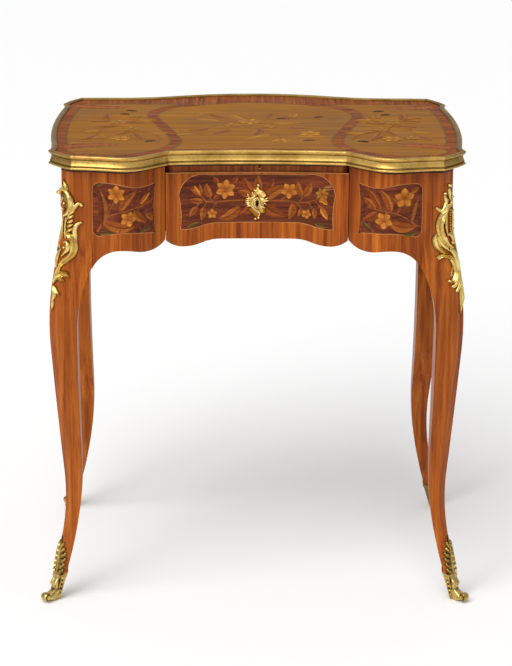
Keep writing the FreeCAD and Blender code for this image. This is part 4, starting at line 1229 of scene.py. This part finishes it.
# Side panels, as the front ones: a shaped ground, a pale line round it and a spray of flowers.
sidePanel = {"middle": 650, "half": 118, "tall": 78, "swell": 7, "rise": 0.03, "steps": 40}
sideSpray = {
    "stemTone": "brown",
    "stems": [([(-105, 634), (-50, 646), (10, 648), (70, 652), (102, 640)], 1.8),
        ([(-40, 647), (-56, 662)], 1.4), ([(20, 648), (30, 662)], 1.4), ([(-10, 648), (-4, 634)], 1.4),
        ([(70, 651), (78, 638)], 1.3)],
    "leaves": [((-90, 638), (-104, 664), 12, "honey", 2), ((-70, 642), (-84, 676), 13, "honey", -3),
        ((-60, 644), (-88, 626), 13, "rust", 2), ((-36, 648), (-26, 680), 13, "honey", 3),
        ((-30, 647), (-44, 622), 13, "honey", 2), ((6, 649), (4, 678), 12, "rust", 2),
        ((16, 648), (34, 624), 14, "honey", 3), ((44, 651), (58, 680), 13, "honey", -3),
        ((52, 651), (56, 624), 12, "rust", 2), ((76, 651), (98, 670), 12, "honey", 2),
        ((88, 648), (104, 626), 11, "honey", -2), ((-20, 620), (14, 616), 10, "green", 2)],
    "blooms": [((-56, 668), 14, 6, "amber", 0.4), ((30, 667), 14.5, 5, "amber", 0.9),
        ((-4, 630), 11, 6, "amber", 0.2), ((78, 634), 9, 5, "yellow", 0.5)],
}


def sidePanelWidth(share):
    return sidePanel["tall"] + sidePanel["swell"] * math.cos(4 * math.pi * share)


def addSidePanel(side):
    name = "apron_side_" + ("right" if side > 0 else "left")
    low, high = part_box(name)
    right = Vector((0, side, 0))
    chart = castChart(surfaceOf(name), right, (low + high).dot(right) / 2)
    half, middle, steps = sidePanel["half"], sidePanel["middle"], sidePanel["steps"]
    ground = newShape(chart)
    addInlaid(ground, [(-half, middle), (0, middle), (half, middle)], sidePanelWidth, sidePanel["rise"],
              steps, 10, lambda share, offset: white[:3])
    addPiece("side_ground_" + str(side), ground, "amaranth")
    path = []
    for step in range(steps + 1):
        path.append((half * (2 * step / steps - 1), middle - sidePanelWidth(step / steps) / 2))
    path += [(across, 2 * middle - up) for across, up in reversed(path)]
    outline = [chart(*spot)[0] for spot in path]
    addLine("side_line_" + str(side), outline, Vector((side, 0, 0)), "pale", "box")
    addInlay("inlay_side_" + str(side), chart, [sideSpray])


for side in (1, -1):
    addSidePanel(side)
print("side marquetry laid")


# Stage, light and camera
studio = {"floorSize": 60, "floorColour": (250, 250, 250), "sky": 0.55, "sun": 1.9, "sunSpread": 50,
          "sunFrom": (-0.45, -0.7, 1.15), "glint": 14, "glintFrom": (-1.8, -2.4, 2.2), "glintSize": 0.9}
camera = {"place": (-57.25, -3787.27, 1594.46), "pitch": 0.309582, "yaw": 0.015694, "roll": 0.0061938,
          "focal": 2400, "sensor": 36, "tallPixels": 666, "farthest": 100}


def addStage():
    half = studio["floorSize"] / 2
    mesh = bpy.data.meshes.new("floor")
    ends = ((-half, -half, 0), (half, -half, 0), (half, half, 0), (-half, half, 0))
    mesh.from_pydata(ends, [], [(0, 1, 2, 3)])
    floor = bpy.data.objects.new("floor", mesh)
    scene.collection.objects.link(floor)
    material, tree, shader, place = startMaterial("paperFloor")
    shader.inputs["Base Color"].default_value = srgb(*studio["floorColour"])
    tree.links.new(spanOf(tree, noiseAt(tree, place, 30, 3), 0.85, 0.95), shader.inputs["Roughness"])
    mesh.materials.append(material)
    world = bpy.data.worlds.new("studio")
    world.use_nodes = True
    sky = world.node_tree.nodes["Background"].inputs
    sky["Color"].default_value = white
    sky["Strength"].default_value = studio["sky"]
    scene.world = world
    scene.view_settings.view_transform = "Standard"


def addLight(name, kind, place, power, **settings):
    data = bpy.data.lights.new(name, kind)
    data.energy = power
    for setting, value in settings.items():
        setattr(data, setting, value)
    light = bpy.data.objects.new(name, data)
    light.location = place
    light.rotation_euler = (-Vector(place)).to_track_quat("-Z", "Y").to_euler()
    scene.collection.objects.link(light)


def addCamera():
    data = bpy.data.cameras.new("camera")
    data.sensor_width = camera["sensor"]
    data.lens = camera["sensor"] * camera["focal"] / camera["tallPixels"]
    data.clip_end = camera["farthest"]
    eye = bpy.data.objects.new("camera", data)
    turn = (Matrix.Rotation(camera["roll"], 3, "Y") @ Matrix.Rotation(camera["pitch"], 3, "X")
            @ Matrix.Rotation(camera["yaw"], 3, "Z"))
    right, forward, up = turn
    eye.matrix_world = Matrix((right, up, -forward)).transposed().to_4x4()
    eye.location = Vector(camera["place"]) * mm
    scene.collection.objects.link(eye)
    scene.camera = eye


addStage()
addLight("sun", "SUN", studio["sunFrom"], studio["sun"], angle=math.radians(studio["sunSpread"]))
addLight("glint", "AREA", studio["glintFrom"], studio["glint"], shape="RECTANGLE", size=studio["glintSize"],
         size_y=studio["glintSize"])
addCamera()
print("stage, light and camera set")
